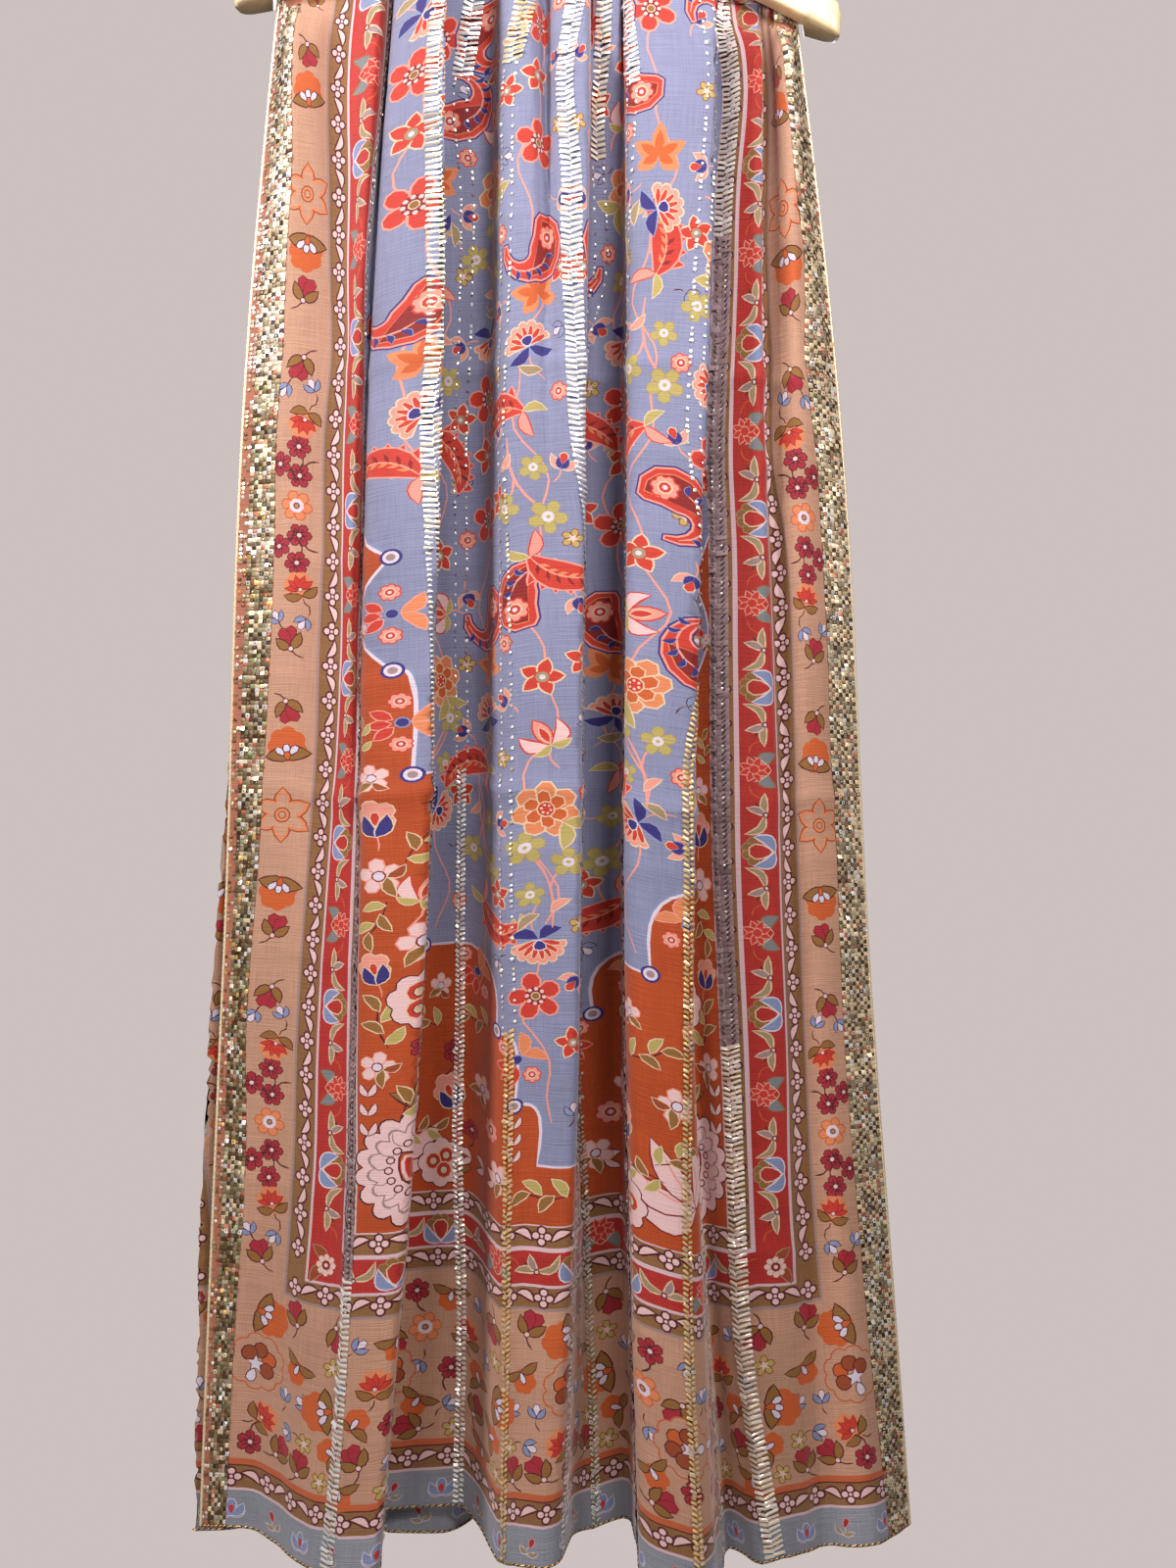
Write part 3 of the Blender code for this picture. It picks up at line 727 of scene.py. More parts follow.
def daisy(pen):
    """A ring of pale rounds about a dark red eye, with two brown leaves, for the corner."""
    for degrees in (40, 140):
        pen.edged(leaf(17, 7, 2), "nut brown", "grey green", 0.7, (0, 0), degrees)
    for k in range(8):
        pen.edged(disc(1.9, 6), "blossom", "cream", 0.4, spoke(5.6, 45 * k))
    pen.edged(disc(3.5, 8), "dark red", "cream", 0.7)
    pen.fill(disc(1.6, 6), "blossom")


def hem_lotus(pen):
    """A lotus in white outline round a small red heart."""
    pen.pair(leaf(11.5, 5.0, 1), "lavender hem", "lilac white", 0.6, (0, -7), 68)
    pen.pair(leaf(14.5, 7.0, 2), "blue petal", "lilac white", 0.7, (0, -7), 38)
    pen.edged(petal(15.0, 8.6, 9), "blue petal", "lilac white", 0.7, (0, -7))
    pen.fill(petal(8.0, 5.0, 7), "flower red", (0, -5))


def hem_bud(pen):
    """A small crimson bud on a white stem."""
    pen.stem(arc((0, -8), (0, 2), 2, 4), "lilac white", 0.7)
    pen.pair(leaf(10.0, 4.2, 1), "grey green", "lilac white", 0.6, (0, -6), 62)
    pen.edged(petal(8.5, 5.4, 7), "crimson", "pink", 0.7, (0, 0))


def rosette(pen):
    """A pink round of seven lobes with a red heart."""
    pen.edged(scalloped(6.2, 7, 0.22, 3), "pink", "flower red", 0.9)
    pen.edged(disc(2.8, 8), "flower red", "cream", 0.8)
    pen.fill(disc(1.3, 6), "lilac white")


def dotted_flower(pen):
    """A five-petalled red flower with a dark centre in a ring of pale dots."""
    pen.petals(5, petal(14.5, 11.0, 10), "flower red", "pink", 1.1)
    pen.fill(disc(5.8, 12), "dark red")
    for k in range(8):
        pen.fill(disc(1.25, 6), "blossom", spoke(4.6, 45 * k))
    pen.edged(disc(2.1, 8), "leaf olive", "cream", 0.6)


def spoke_flower(pen):
    """Five separate pointed red petals outlined in cream, round an olive disc."""
    pen.petals(5, leaf(11.5, 7.0, 0.0, 5), "flower red", "cream", 1.0, 12, (0, 0))
    pen.edged(disc(3.4, 9), "grey green", "flower red", 0.9)
    pen.fill(disc(1.6, 7), "lilac white")


def feather(pen):
    """A long curling red leaf with flames down one side and small leaves at its foot."""
    spine, heading, body = curled(46, 95, (1.5, 5, 7.5, 8.5, 8, 7, 5.5, 3.5, 0.8))
    for k in range(1, 8):
        flame, sprout = leaf(12.5 - 0.6 * k, 4.6, -1), leaf(8.0, 3.0, 1)
        pen.edged(flame, "flower red", "pink", 0.9, spine[k] + (1, 0), heading[k] - 58)
        pen.edged(sprout, "yellow green", "cream", 0.5, spine[k] - (2, 0), heading[k] + 66)
    pen.edged(body, "flower red", "pink", 1.0)
    pen.stem(spine[:-1], "pink", 1.0)
    for k in range(1, 7):
        for colour, way in (("pale orange", 1), ("dark red", -1)):
            pen.fill(leaf(6.5, 2.2), colour, spine[k], heading[k] + 40 * way)
    pen.edged(leaf(17, 6, 2), "pink", "flower red", 0.7, (0, 0), 140)
    pen.edged(leaf(14, 5, -2), "yellow green", "cream", 0.7, (0, 0), -150)


def paisley(pen):
    """A round-bodied red drop whose tip curls over, with a rosette in its body."""
    widths = (2.0, 8.5, 11.5, 12.0, 11.0, 9.0, 7.0, 5.2, 3.8, 2.6, 1.6, 0.7)
    spine, heading, body = curled(66, 235, widths)
    pen.edged(grown(body, 1.2), "flower red", "navy", 0.9)
    pen.edged(body, "flower red", "pink", 1.1)
    pen.edged(grown(body[:8], -3.4), "dark red", "pale orange", 0.6)
    pen.stem(spine[4:-1], "pink", 1.1)
    for k in range(4, 10):
        pen.edged(leaf(6.0, 2.6, 1), "navy", "blue petal", 0.4, spine[k], heading[k] - 100)
    rosette(pen.moved(spine[2] + (0, 1), 1.1))


def fan_flower(pen):
    """Red rays spread like a fan over navy leaves, on a pale stem."""
    pen.stem(arc((0, 0), (-3, -22), 3.5, 5), "pink", 1.1)
    pen.edged(scalloped(14.5, 7, 0.14, 4, 0.0, math.pi), "pink", "cream", 0.9)
    for k in range(-3, 4):
        pen.edged(petal(12.0, 3.4, 7), "flower red", "cream", 0.5, turn=25 * k)
    pen.edged(petal(6.0, 8.0, 8), "navy", "lilac white", 0.7)
    pen.pair(leaf(15.0, 6.4, 2.2), "navy", "blue petal", 0.8, (0, -1), 112)
    pen.edged(leaf(14.0, 5.0, 2), "grey green", "cream", 0.7, (-3, -16), -60)


def pale_branch(pen):
    """Yellow-green flowers on a pale pink branch."""
    pen.stem(arc((0, -30), (5, 20), 6, 7), "pink", 1.5)
    pen.stem(arc((-3, -8), (-15, 7), -3, 4), "pink", 1.2)
    for at, size in (((5, 22), 1.15), ((-15, 9), 1.0), ((8, -8), 0.85)):
        pen.petals(5, petal(9.0 * size, 7.2 * size, 8), "yellow green", "grey green", 0.6, 10, at)
        pen.edged(disc(3.0 * size, 8), "lilac white", "yellow green", 0.6, at)
        pen.fill(disc(1.2 * size, 5), "yellow green", at)
    pen.edged(leaf(13, 4.6, 1.5), "pink", "cream", 0.6, (-1, -20), 62)


def peach_bloom(pen):
    """A round orange-peach bloom of overlapping petals, outlined in pink."""
    pen.petals(7, petal(17.0, 12.5, 9), "pale orange", "cream", 1.0)
    pen.petals(6, petal(11.5, 8.6, 8), "orange blob", "cream", 0.8, 18)
    pen.edged(disc(4.4, 9), "flower red", "cream", 0.8)
    for k in range(6):
        pen.fill(disc(0.9, 5), "cream", spoke(2.6, 60 * k))
    pen.pair(leaf(17, 7, 2), "yellow green", "cream", 0.8, (0, -12), 130)


def ghost_leaf(pen):
    """A soft five-fingered leaf with no outline."""
    for k, length in enumerate((14, 18, 21, 18, 14)):
        pen.fill(leaf(length, 9.5, 0, 5), "pale orange", (0, -6), 58 * (k - 2))
    for k, length in enumerate((10, 13, 15, 13, 10)):
        pen.fill(leaf(length, 5.5), "orange blob", (0, -5), 58 * (k - 2))


def lily(pen):
    """A pink trumpet of curling petals with a red throat."""
    pen.stem(arc((0, -4), (3, -20), 3, 5), "pink", 1.2)
    pen.pair(leaf(17.0, 7.0, 4.5, 6), "blossom", "flower red", 0.9, (0, -5), 40)
    pen.edged(leaf(18.0, 8.0, 0, 5), "pink", "flower red", 0.9, (0, -5))
    pen.edged(leaf(10.5, 4.0), "flower red", "cream", 0.6, (0, -3))
    pen.pair(leaf(11.0, 4.4, 1.4), "yellow green", "cream", 0.6, (0, -5), 98)


def group(pen):
    """Three red petals, two peach leaves and two rosettes round a navy dot."""
    for degrees in (60, 95, 130):
        foot = turned(np.array([0, 6.0]), degrees)
        pen.edged(leaf(14.0, 7.0), "flower red", "pink", 0.9, foot, degrees)
    for side in (-1, 1):
        pen.edged(leaf(18.5, 8.0, side * 2.4), "pale orange", "pink", 0.9, (5, 0), -90 + 52 * side)
    for at in ((-1, 17), (-1, -17)):
        rosette(pen.moved(at))
    pen.edged(disc(3.4, 9), "navy", "blue petal", 1.0)


def shell(pen):
    """A broad scalloped pink shell with a red heart and a line of rings."""
    outline = scalloped(33, 10, 0.14, 5, math.pi * 0.5, math.pi * 1.2)
    pen.edged(outline, "blossom", "maroon", 1.0)
    pen.fill(scalloped(27, 10, 0.16, 4, math.pi * 0.5, math.pi * 1.2), "grey line")
    pen.fill(scalloped(25.5, 10, 0.16, 4, math.pi * 0.5, math.pi * 1.2), "blossom")
    for k in range(8):
        at = spoke(25.0, 98 + 25 * k)
        pen.stem(arc((0.6 * at[0], 0.6 * at[1]), at, 2.5, 4), "grey line", 0.7)
    for k in range(9):
        pen.ring(spoke(15.5, 94 + 22 * k), "blossom", "maroon", 1.6, 0.8)
    pen.edged(petal(21, 15, 10), "orange field", "maroon", 0.9, (-9, 9), 205)
    pen.edged(petal(16, 10, 9), "flower red", "blossom", 1.6, (-7.5, 6), 205)
    pen.edged(leaf(24, 8.5, 3), "leaf olive", "maroon", 0.9, (4, 29), 52)
    pen.edged(leaf(15, 6.5, -2), "leaf olive", "maroon", 0.9, (6, 30), 14)


def plume(pen):
    """Long pink leaves curling from one foot."""
    for degrees, length, bend in ((-66, 36, 7), (-34, 48, 8), (-4, 44, 4), (26, 34, -5)):
        pen.edged(leaf(length, 13, bend, 6), "blossom", "dark red", 0.9, turn=degrees)
        rib = arc((0, 3), turned(np.array([0, length * 0.75]), degrees), -bend * 0.6, 5)
        pen.stem(rib, "pink", 1.0)


def pink_flower(pen):
    """Five pale petals round a dark-ringed eye, with an olive leaf and a brown one."""
    pen.stem(arc((0, -3), (-9, -10), 2, 4), "maroon")
    pen.petals(5, petal(11.0, 9.0, 8), "blossom", "pink", 0.8)
    pen.ring((0, 0), "lilac white", "dark red", 2.8, 0.9, 9)
    pen.edged(leaf(13, 5.5, 1.5), "leaf olive", "cream", 0.7, (0, -4), 118)
    pen.edged(leaf(11, 5.0, 1.5), "nut brown", "cream", 0.6, (0, -4), -128)


def vee_leaves(pen):
    """Three pairs of pale leaves, one above another."""
    for k in range(3):
        pen.pair(leaf(10.5, 4.2, 1), "blossom", "maroon", 0.7, (0, 14 * k - 17), 28)


def olive_spray(pen):
    """Four olive and yellow-green leaves by turns up a dark stem."""
    pen.stem(arc((0, -15), (3, 14), 3, 5), "maroon", 1.0)
    for k, degrees in enumerate((-56, 48, -38, 26)):
        colour, at = ("leaf olive" if k % 2 else "yellow green"), (0.8 * k - 0.5, 7 * k - 12)
        pen.edged(leaf(13.5, 5.8, 1.4), colour, "cream", 0.8, at, degrees)


def field_tulip(pen):
    """A pink cup with a red heart between two navy leaves."""
    pen.stem(arc((0, -5), (1, -16), 1, 3), "pink", 0.9)
    pen.edged(scalloped(10.0, 5, 0.25, 4), "pink", "cream", 0.7, (0, 6))
    pen.pair(leaf(15.0, 7.0, 1.8, 5), "navy", "cream", 0.8, (0, -7), 22)
    pen.edged(petal(8.5, 5.2, 7), "flower red", "cream", 0.7, (0, 0))


def round_flower(pen):
    """A broad pink bloom holding three red-ringed rounds."""
    pen.edged(scalloped(18.5, 8, 0.15, 4), "blossom", "maroon", 0.8)
    for degrees in (30, 150, 270):
        at = spoke(6.4, degrees)
        pen.edged(disc(5.8, 9), "flower red", "cream", 0.9, at)
        pen.edged(disc(2.8, 7), "cream", "maroon", 0.7, at)
    pen.edged(leaf(13, 7, 1.5), "leaf olive", "maroon", 0.7, (8, -7), -110)


# ---------------------------------------------------------------- composing the print
HEM_BANDS = (
    # lowest v, colour of the band that starts there, across the whole width
    (0, "lavender hem"),
    (28, "white line"),
    (30, "olive band"),
    (46, "maroon"),
    (47, "soft orange"),
    (51.5, "peach"),
)
FRAMES = (
    # how far in from the edge and up from the hem each nested frame starts
    (60, 178, "grey line"),
    (62, 180, "olive band"),
    (80, 194, "white line"),
    (82, 196, "red band"),
    (107.5, 219, "white line"),
    (110.5, 222, "olive band"),
    (127, 236, "white line"),
    (128.5, 237, "orange field"),
)
CHAIN_PITCH = 25.2
HEM_CHAIN, HEM_CHAIN_START = 38, 4  # middle of the lowest olive band, and its first flower
OUTER_CHAIN, OUTER_LOW = 71, 187  # middle of the outer olive band, up the side and over the hem
OUTER_START = 215  # its first flower above the one in the corner
RED_MIDDLE, RED_LOW = 94.75, 207.5  # the middle of the red band, up the side and over the hem
RED_FIRST, RED_PERIOD = 274, 120.2
INNER_CHAIN, INNER_LOW = 118.7, 229.5  # the same of the inner olive band
SPANDREL_SIZE = 1.25
SPRIG_STEP = 27
# Places across and up where the blue field's outline turns in, each marked by a ring.
FIELD_RINGS = ((153, 716), (153, 636), (161, 561), (192, 492), (256, 428), (333, 376), (350, 322))
FIELD_EDGE = 128
FIELD_FOOT = 278
FIELD_TOP_START = 745
LOBE_BOW = -23
LOBE_BOXY = 0.62  # 1 is a quarter of an ellipse, and less is squarer
LOBE_STEPS = 9


def lobe(start, end):
    """A rounded outward corner of the field's outline between two rings."""
    start, end = np.array(start, float), np.array(end, float)
    if abs(start[0] - end[0]) < 1:
        return arc(start, end, LOBE_BOW, LOBE_STEPS)
    corner = np.array([start[0] - 5, end[1] - 3])
    t = np.linspace(0, math.pi / 2, LOBE_STEPS + 1)[:, None]
    from_start, from_end = np.cos(t) ** LOBE_BOXY, np.sin(t) ** LOBE_BOXY
    return corner + (start - corner) * from_start + (end - corner) * from_end


def field_outline():
    """The stepped edge of the blue field, from its top left down to the middle."""
    path = [arc((FIELD_EDGE, FIELD_TOP_START), FIELD_RINGS[0], -3, 4)]
    for start, end in zip(FIELD_RINGS, FIELD_RINGS[1:]):
        path.append(lobe(start, end)[1:])
    foot = lobe(FIELD_RINGS[-1], (HALF - 36, FIELD_FOOT))[1:]
    return np.vstack([*path, foot, [(PAST_MIDDLE, FIELD_FOOT)]])


PRINT_TOP = LENGTH + OVER + 6  # the print runs on a little past the middle of the bar,
PAST_MIDDLE = HALF + 8  # past the middle of the cloth,
PAST_EDGE = -4  # and past its edge and its hem
LAST_MOTIF = HALF + 6  # a motif of the panel that lies further over is left to the other half


def lay_grounds(shapes):
    """The plain bands and fields, each laid over the last."""
    pen = Pen(shapes)
    for low, colour in HEM_BANDS:
        pen.fill(box(PAST_EDGE, low or PAST_EDGE, PAST_MIDDLE, PRINT_TOP), colour)
    for inset, low, colour in FRAMES:
        pen.fill(box(inset, low, PAST_MIDDLE, PRINT_TOP), colour)
    outline = field_outline()
    corners = [(PAST_MIDDLE, PRINT_TOP), (FIELD_EDGE, PRINT_TOP)]
    pen.fill(np.vstack([outline, corners]), "blue field")
    pen.fill(ribbon(outline + (1.4, 1.6), 0.9), "blue petal")
    pen.fill(ribbon(outline, 2.0), "lilac white")


def spot(along, across, upright):
    """A place on a band that runs up the cloth, or across it."""
    return (across, along) if upright else (along, across)


def chain(shapes, start, end, across, upright):
    """Flowers and slanting leaves by turns along an olive band."""
    for k in range(int((end - start) / CHAIN_PITCH) + 1):
        place = start + CHAIN_PITCH * k
        lean = 26 - 52 * (k % 2)
        between = place + CHAIN_PITCH / 2
        for kind, at, turn in ((chain_flower, place, 0), (chain_leaf, between, lean)):
            kind(Pen(shapes, spot(at, across, upright), turn if upright else turn + 90))


def red_run(shapes, first, end, across, upright):
    """Blue lotuses and grey ones by turns along the red band, with sprigs between them."""
    turn = 0 if upright else -90
    for k in range(int((end - first) / RED_PERIOD) + 1):
        for kind, step, way in (
            (sprig, SPRIG_STEP, 1),
            (sprig, -SPRIG_STEP, -1),
            (blue_lotus, 0, 1),
            (star_lotus, RED_PERIOD / 2, 1),
        ):
            at = spot(first + RED_PERIOD * k + step, across, upright)
            kind(Pen(shapes, at, turn if way > 0 else turn + 180, 1.0, upright == (way > 0)))


SIDE_ORDER = (
    # distance above the eye flower, motif, side step, turn
    (21, red_flower, 0, 150),
    (29, red_flower, -14, 60),
    (41, red_flower, -1, 20),
    (60, fan_tulip, 2, 160),
    (82, tulip, -13, 150),
    (82, tulip, 6, 30),
    (101, bud, -3, 165),
    (143, bud, -4, -15),
    (179, blob_flower, -2, -8),
)
SIDE_EYES = (300, 756, 1212)  # the last lies past the fold over the bar
SIDE_BIG = (531, 968)
SIDE_MIDDLE = 45
SIDE_FOOT = 196  # the side's flowers start above the end panel


def side_run(shapes):
    """Flowers down the peach side band, mirrored about each eye flower."""
    for up in SIDE_EYES:
        for way in (1, -1):
            for distance, kind, step, turn in SIDE_ORDER:
                at = (SIDE_MIDDLE + step, up + way * distance)
                if SIDE_FOOT < at[1] < LENGTH + 2 * OVER:
                    kind(Pen(shapes, at, turn if way > 0 else 180 - turn, 1.0, way < 0))
        if up < LENGTH:
            eye_flower(Pen(shapes, (SIDE_MIDDLE - 2, up)))
    for up in SIDE_BIG:
        big_flower(Pen(shapes, (SIDE_MIDDLE - 3, up)))


# The end panel's flowers in a stretch 190 wide, from its left and up from the hem.
PANEL_WIDTH = 190
PANEL_START, PANEL_SIZE = 30, 1.04
PANEL = (
    (17, 160, blob_flower, 70), (46, 163, bud, 20), (78, 164, bud, -160), (103, 158, tulip, -50),
    (128, 160, drop_flower, 10), (152, 163, red_flower, 0), (176, 160, tulip, 160),
    (14, 124, grape_cluster, 0), (50, 133, drop_flower, -25), (77, 138, olive_flower, 0),
    (92, 127, tulip, 40), (116, 130, fan_tulip, 0), (146, 135, eye_flower, 0), (170, 131, bud, 150),
    (188, 138, tulip, 0), (38, 106, tulip, 0), (57, 108, tulip, 60), (74, 108, blob_flower, -80),
    (103, 104, drop_flower, 150), (128, 104, red_flower, 30), (149, 108, tulip, -150),
    (172, 104, grape_cluster, 120), (18, 84, fan_tulip, -60), (44, 84, tulip, 110),
    (59, 82, olive_flower, 20), (84, 80, drop_flower, -110), (108, 78, bud, 30),
    (130, 76, tulip, 60), (149, 82, drop_flower, 30), (176, 74, red_flower, 200),
    (10, 64, red_flower, 180), (32, 64, bud, -40), (55, 61, bud, -10), (75, 60, olive_flower, 50),
    (97, 60, drop_flower, 5), (126, 59, olive_flower, 0), (150, 60, bud, -70),
)


def end_panel(shapes):
    """The end panel's flowers, and the same stretch mirrored beside it."""
    for left, flip in ((PANEL_START, False), (PANEL_START + 2 * PANEL_WIDTH, True)):
        for across, up, kind, turn in PANEL:
            u = left + (-across if flip else across)
            if u <= LAST_MOTIF:
                kind(Pen(shapes, (u, up), -turn if flip else turn, PANEL_SIZE, flip))


HEM_FIRST, HEM_PITCH, HEM_SIZE = 30, 62, 0.82


def hem_run(shapes):
    """Lotuses and buds by turns along the hem."""
    for k in range(7):
        at = HEM_FIRST + HEM_PITCH * k
        hem_lotus(Pen(shapes, (at, 15), 0, HEM_SIZE))
        hem_bud(Pen(shapes, (at + HEM_PITCH / 2, 14), 20 * (-1) ** k, HEM_SIZE))


SPANDREL = (
    # across, up, motif, turn, size
    (168, 280, shell, 0, 1.0), (222, 268, plume, -34, 1.0), (276, 258, round_flower, 20, 0.8),
    (312, 262, vee_leaves, 90, 0.9), (336, 268, pink_flower, 40, 0.8),
    (372, 257, olive_spray, 95, 0.9), (136, 322, vee_leaves, 0, 0.8),
    (162, 332, olive_spray, -20, 0.9), (142, 354, pink_flower, 60, 0.8),
    (168, 366, red_flower, 0, 0.8), (144, 384, olive_spray, 15, 0.9),
    (168, 400, round_flower, -30, 0.9), (141, 420, field_tulip, 10, 0.8),
    (166, 442, pink_flower, 20, 1.0), (142, 458, olive_spray, 160, 0.8), (166, 476, lily, -25, 0.9),
    (143, 490, pink_flower, 80, 0.9), (164, 512, olive_spray, -30, 0.8),
    (142, 526, field_tulip, 0, 0.9), (141, 560, pink_flower, 10, 0.7),
    (134, 590, olive_spray, 0, 0.6), (133, 668, pink_flower, 0, 0.45),
    (206, 330, olive_spray, -20, 1.0), (240, 338, pink_flower, 60, 0.9),
    (284, 308, field_tulip, 25, 1.0), (312, 322, pink_flower, -20, 0.8),
    (222, 386, field_tulip, -30, 0.9), (258, 370, olive_spray, 70, 0.85),
    (285, 344, red_flower, 0, 0.9), (272, 396, pink_flower, 0, 0.7),
    (306, 372, olive_spray, 100, 0.8), (216, 442, red_flower, 40, 0.8),
    (240, 300, olive_spray, 60, 0.8), (300, 284, red_flower, 10, 0.7), (326, 298, rosette, 10, 1.1),
    (262, 284, olive_spray, -80, 0.8), (350, 296, vee_leaves, 0, 0.7),
)

FIELD_CYCLE = (
    (feather, 10), (dotted_flower, 0), (pale_branch, -15), (paisley, 20), (fan_flower, 20),
    (spoke_flower, 0), (peach_bloom, 0), (feather, -150), (ghost_leaf, 0), (dotted_flower, 36),
    (lily, 30), (pale_branch, 170), (paisley, 190), (fan_flower, 190), (spoke_flower, 20),
)
FIELD_FILLERS = (blue_bud, rosette, tulip, spoke_flower, blue_bud, olive_flower)
VINE_LOWS = (780, 530, 440, 400, 310)  # where the vine of each column of the field starts
FIELD_ROWS, FIELD_SPACING = 18, (50, 46)
FLOWERS_FIRST, FLOWER_ROOM, FLOWER_EDGE = (166, 306), 30, 22
FILLERS_FIRST, FILLER_ROOM, FILLER_EDGE = (191, 318), 24, 14
FLOWER_SIZE, GROUP_SIZE = 1.15, 0.9
GROUP_STEP = (10, 7)  # a group stands this far inside the field's stepped edge
RING = ((6.0, 14, "navy"), (4.4, 12, "lilac white"), (2.6, 9, "grey line"))


def inside(points, outline):
    """Which points lie inside a closed outline."""
    x, y = points[:, 0][:, None], points[:, 1][:, None]
    x1, y1 = outline[:, 0], outline[:, 1]
    x2, y2 = np.roll(x1, -1), np.roll(y1, -1)
    span = np.where(y2 == y1, 1e-12, y2 - y1)
    crossing = ((y1 > y) != (y2 > y)) & (x < (x2 - x1) * (y - y1) / span + x1)
    return crossing.sum(axis=1) % 2 == 1


def vine(shapes, across, low, high):
    """A pale stem that winds up one column of the field."""
    v = np.arange(low, high, 9.0)
    u = across + 9 * np.sin(v / 23.0) + 4 * np.sin(v / 9.5 + across)
    Pen(shapes).stem(np.column_stack([u, v]), "pink", 1.3)


def free_spots(outline, first, taken, room, edge):
    """Places of a half-drop repeat inside the field, clear of its edge and of taken places."""
    closed = np.vstack([outline, [(PAST_MIDDLE, LENGTH + 30), (FIELD_EDGE, LENGTH + 30)]])
    for column in range(len(VINE_LOWS)):
        for row in range(FIELD_ROWS):
            step = (FIELD_SPACING[0] * column, FIELD_SPACING[1] * (row + 0.5 * (column % 2)))
            at = np.array(first) + step
            at += (4 * math.sin(7 * row + column), 5 * math.cos(5 * row + 2 * column))
            near = min(np.linalg.norm(at - other) for other in taken)
            if near > room and np.linalg.norm(outline - at, axis=1).min() > edge:
                if inside(at[None], closed)[0]:
                    yield column, row, at


def field_run(shapes):
    """Rings and groups along the blue field's edge, and flowers in half-drop columns."""
    outline = field_outline()
    rings = np.array(FIELD_RINGS, float)
    taken = list(rings)
    for column, low in enumerate(VINE_LOWS):
        vine(shapes, FLOWERS_FIRST[0] + FIELD_SPACING[0] * column, low, LENGTH + OVER)
    for k, (start, end) in enumerate(zip(rings, rings[1:])):
        middle = (start + end) / 2 + (GROUP_STEP if k > 1 else (0, 0))
        group(Pen(shapes, middle, 42 if k > 1 else 0, GROUP_SIZE))
        taken.append(middle)
    for column, row, at in free_spots(outline, FILLERS_FIRST, taken, FILLER_ROOM, FILLER_EDGE):
        kind = FIELD_FILLERS[(row + 2 * column) % len(FIELD_FILLERS)]
        kind(Pen(shapes, at, 70 * row))
    spots = free_spots(outline, FLOWERS_FIRST, taken, FLOWER_ROOM, FLOWER_EDGE)
    for count, (column, row, at) in enumerate(spots):
        kind, turn = FIELD_CYCLE[(count * 4 + 2 * column) % len(FIELD_CYCLE)]
        kind(Pen(shapes, at, turn + 25 * (row % 3), FLOWER_SIZE, bool(count % 2)))
    for at in FIELD_RINGS:
        for radius, points, colour in RING:
            Pen(shapes, at).fill(disc(radius, points), colour)


def draw_print():
    """All shapes of the left half of one fall, in painting order."""
    shapes, top = [], LENGTH + OVER
    lay_grounds(shapes)
    hem_run(shapes)
    chain(shapes, HEM_CHAIN_START, HALF, HEM_CHAIN, False)
    end_panel(shapes)
    side_run(shapes)
    chain(shapes, OUTER_CHAIN, HALF, OUTER_LOW, False)
    chain(shapes, OUTER_START, top, OUTER_CHAIN, True)
    red_run(shapes, RED_MIDDLE + RED_PERIOD / 2, HALF, RED_LOW, False)
    red_run(shapes, RED_FIRST, top, RED_MIDDLE, True)
    daisy(Pen(shapes, (RED_MIDDLE, RED_LOW + 0.5)))
    chain(shapes, INNER_CHAIN, HALF, INNER_LOW, False)
    chain(shapes, INNER_LOW + CHAIN_PITCH, top, INNER_CHAIN, True)
    field_run(shapes)
    for across, up, kind, turn, size in SPANDREL:
        kind(Pen(shapes, (across, up), turn, SPANDREL_SIZE * size))
    pen = Pen(shapes)
    pen.fill(box(PAST_EDGE, PAST_EDGE, GOTA[0], PRINT_TOP), "soft orange")
    pen.fill(box(GOTA[0], PAST_EDGE, GOTA[1], PRINT_TOP), "gota ground")
    return shapes


# ---------------------------------------------------------------- cutting the print
EDGE_ACROSS, EDGE_ALONG = 5.5, 11.0  # the longest edge that still follows the folds
SEAM_SLACK = 0.36  # how far a colour's outline may be straightened
GRID_COLUMNS, GRID_CELL = 82, 4.5  # no grid point where a cell already has one
CREASE_STEPS = (-9, -4.5, 0, 4.5, 9)  # rows of points this far from each packing crease
MERGE = 0.02  # points nearer than this are one


def meshed(points, edges, low, high):
    """Triangles between the points, with every edge kept and the border exactly in line."""
    flat, _, faces = delaunay_2d_cdt(points, edges, [], 0, MERGE, False)[:3]
    flat = np.array([tuple(point) for point in flat])
    for axis, line in ((0, 0), (0, HALF), (1, low), (1, high)):
        flat[np.abs(flat[:, axis] - line) < 1.5 * MERGE, axis] = line
    return flat, np.array(faces)


def coloured(flat, faces, shapes, low, high):
    """The triangles of the left half between two heights, and the number of each one's colour."""
    middles = flat[faces].mean(axis=1)
    kept = ((middles > (0, low)) & (middles < (HALF, high))).all(axis=1)
    faces, middles = faces[kept], middles[kept]
    order = np.argsort(middles[:, 1])
    faces, middles = faces[order], middles[order]
    colours = list(GROUNDS | INKS)
    label = np.zeros(len(faces), int)
    for loop, colour in shapes:
        (left, bottom), (right, top) = loop.min(axis=0), loop.max(axis=0)
        near = np.arange(*np.searchsorted(middles[:, 1], (bottom, top)))
        near = near[(middles[near, 0] >= left) & (middles[near, 0] <= right)]
        label[near[inside(middles[near], loop)]] = colours.index(colour)
    return faces, label


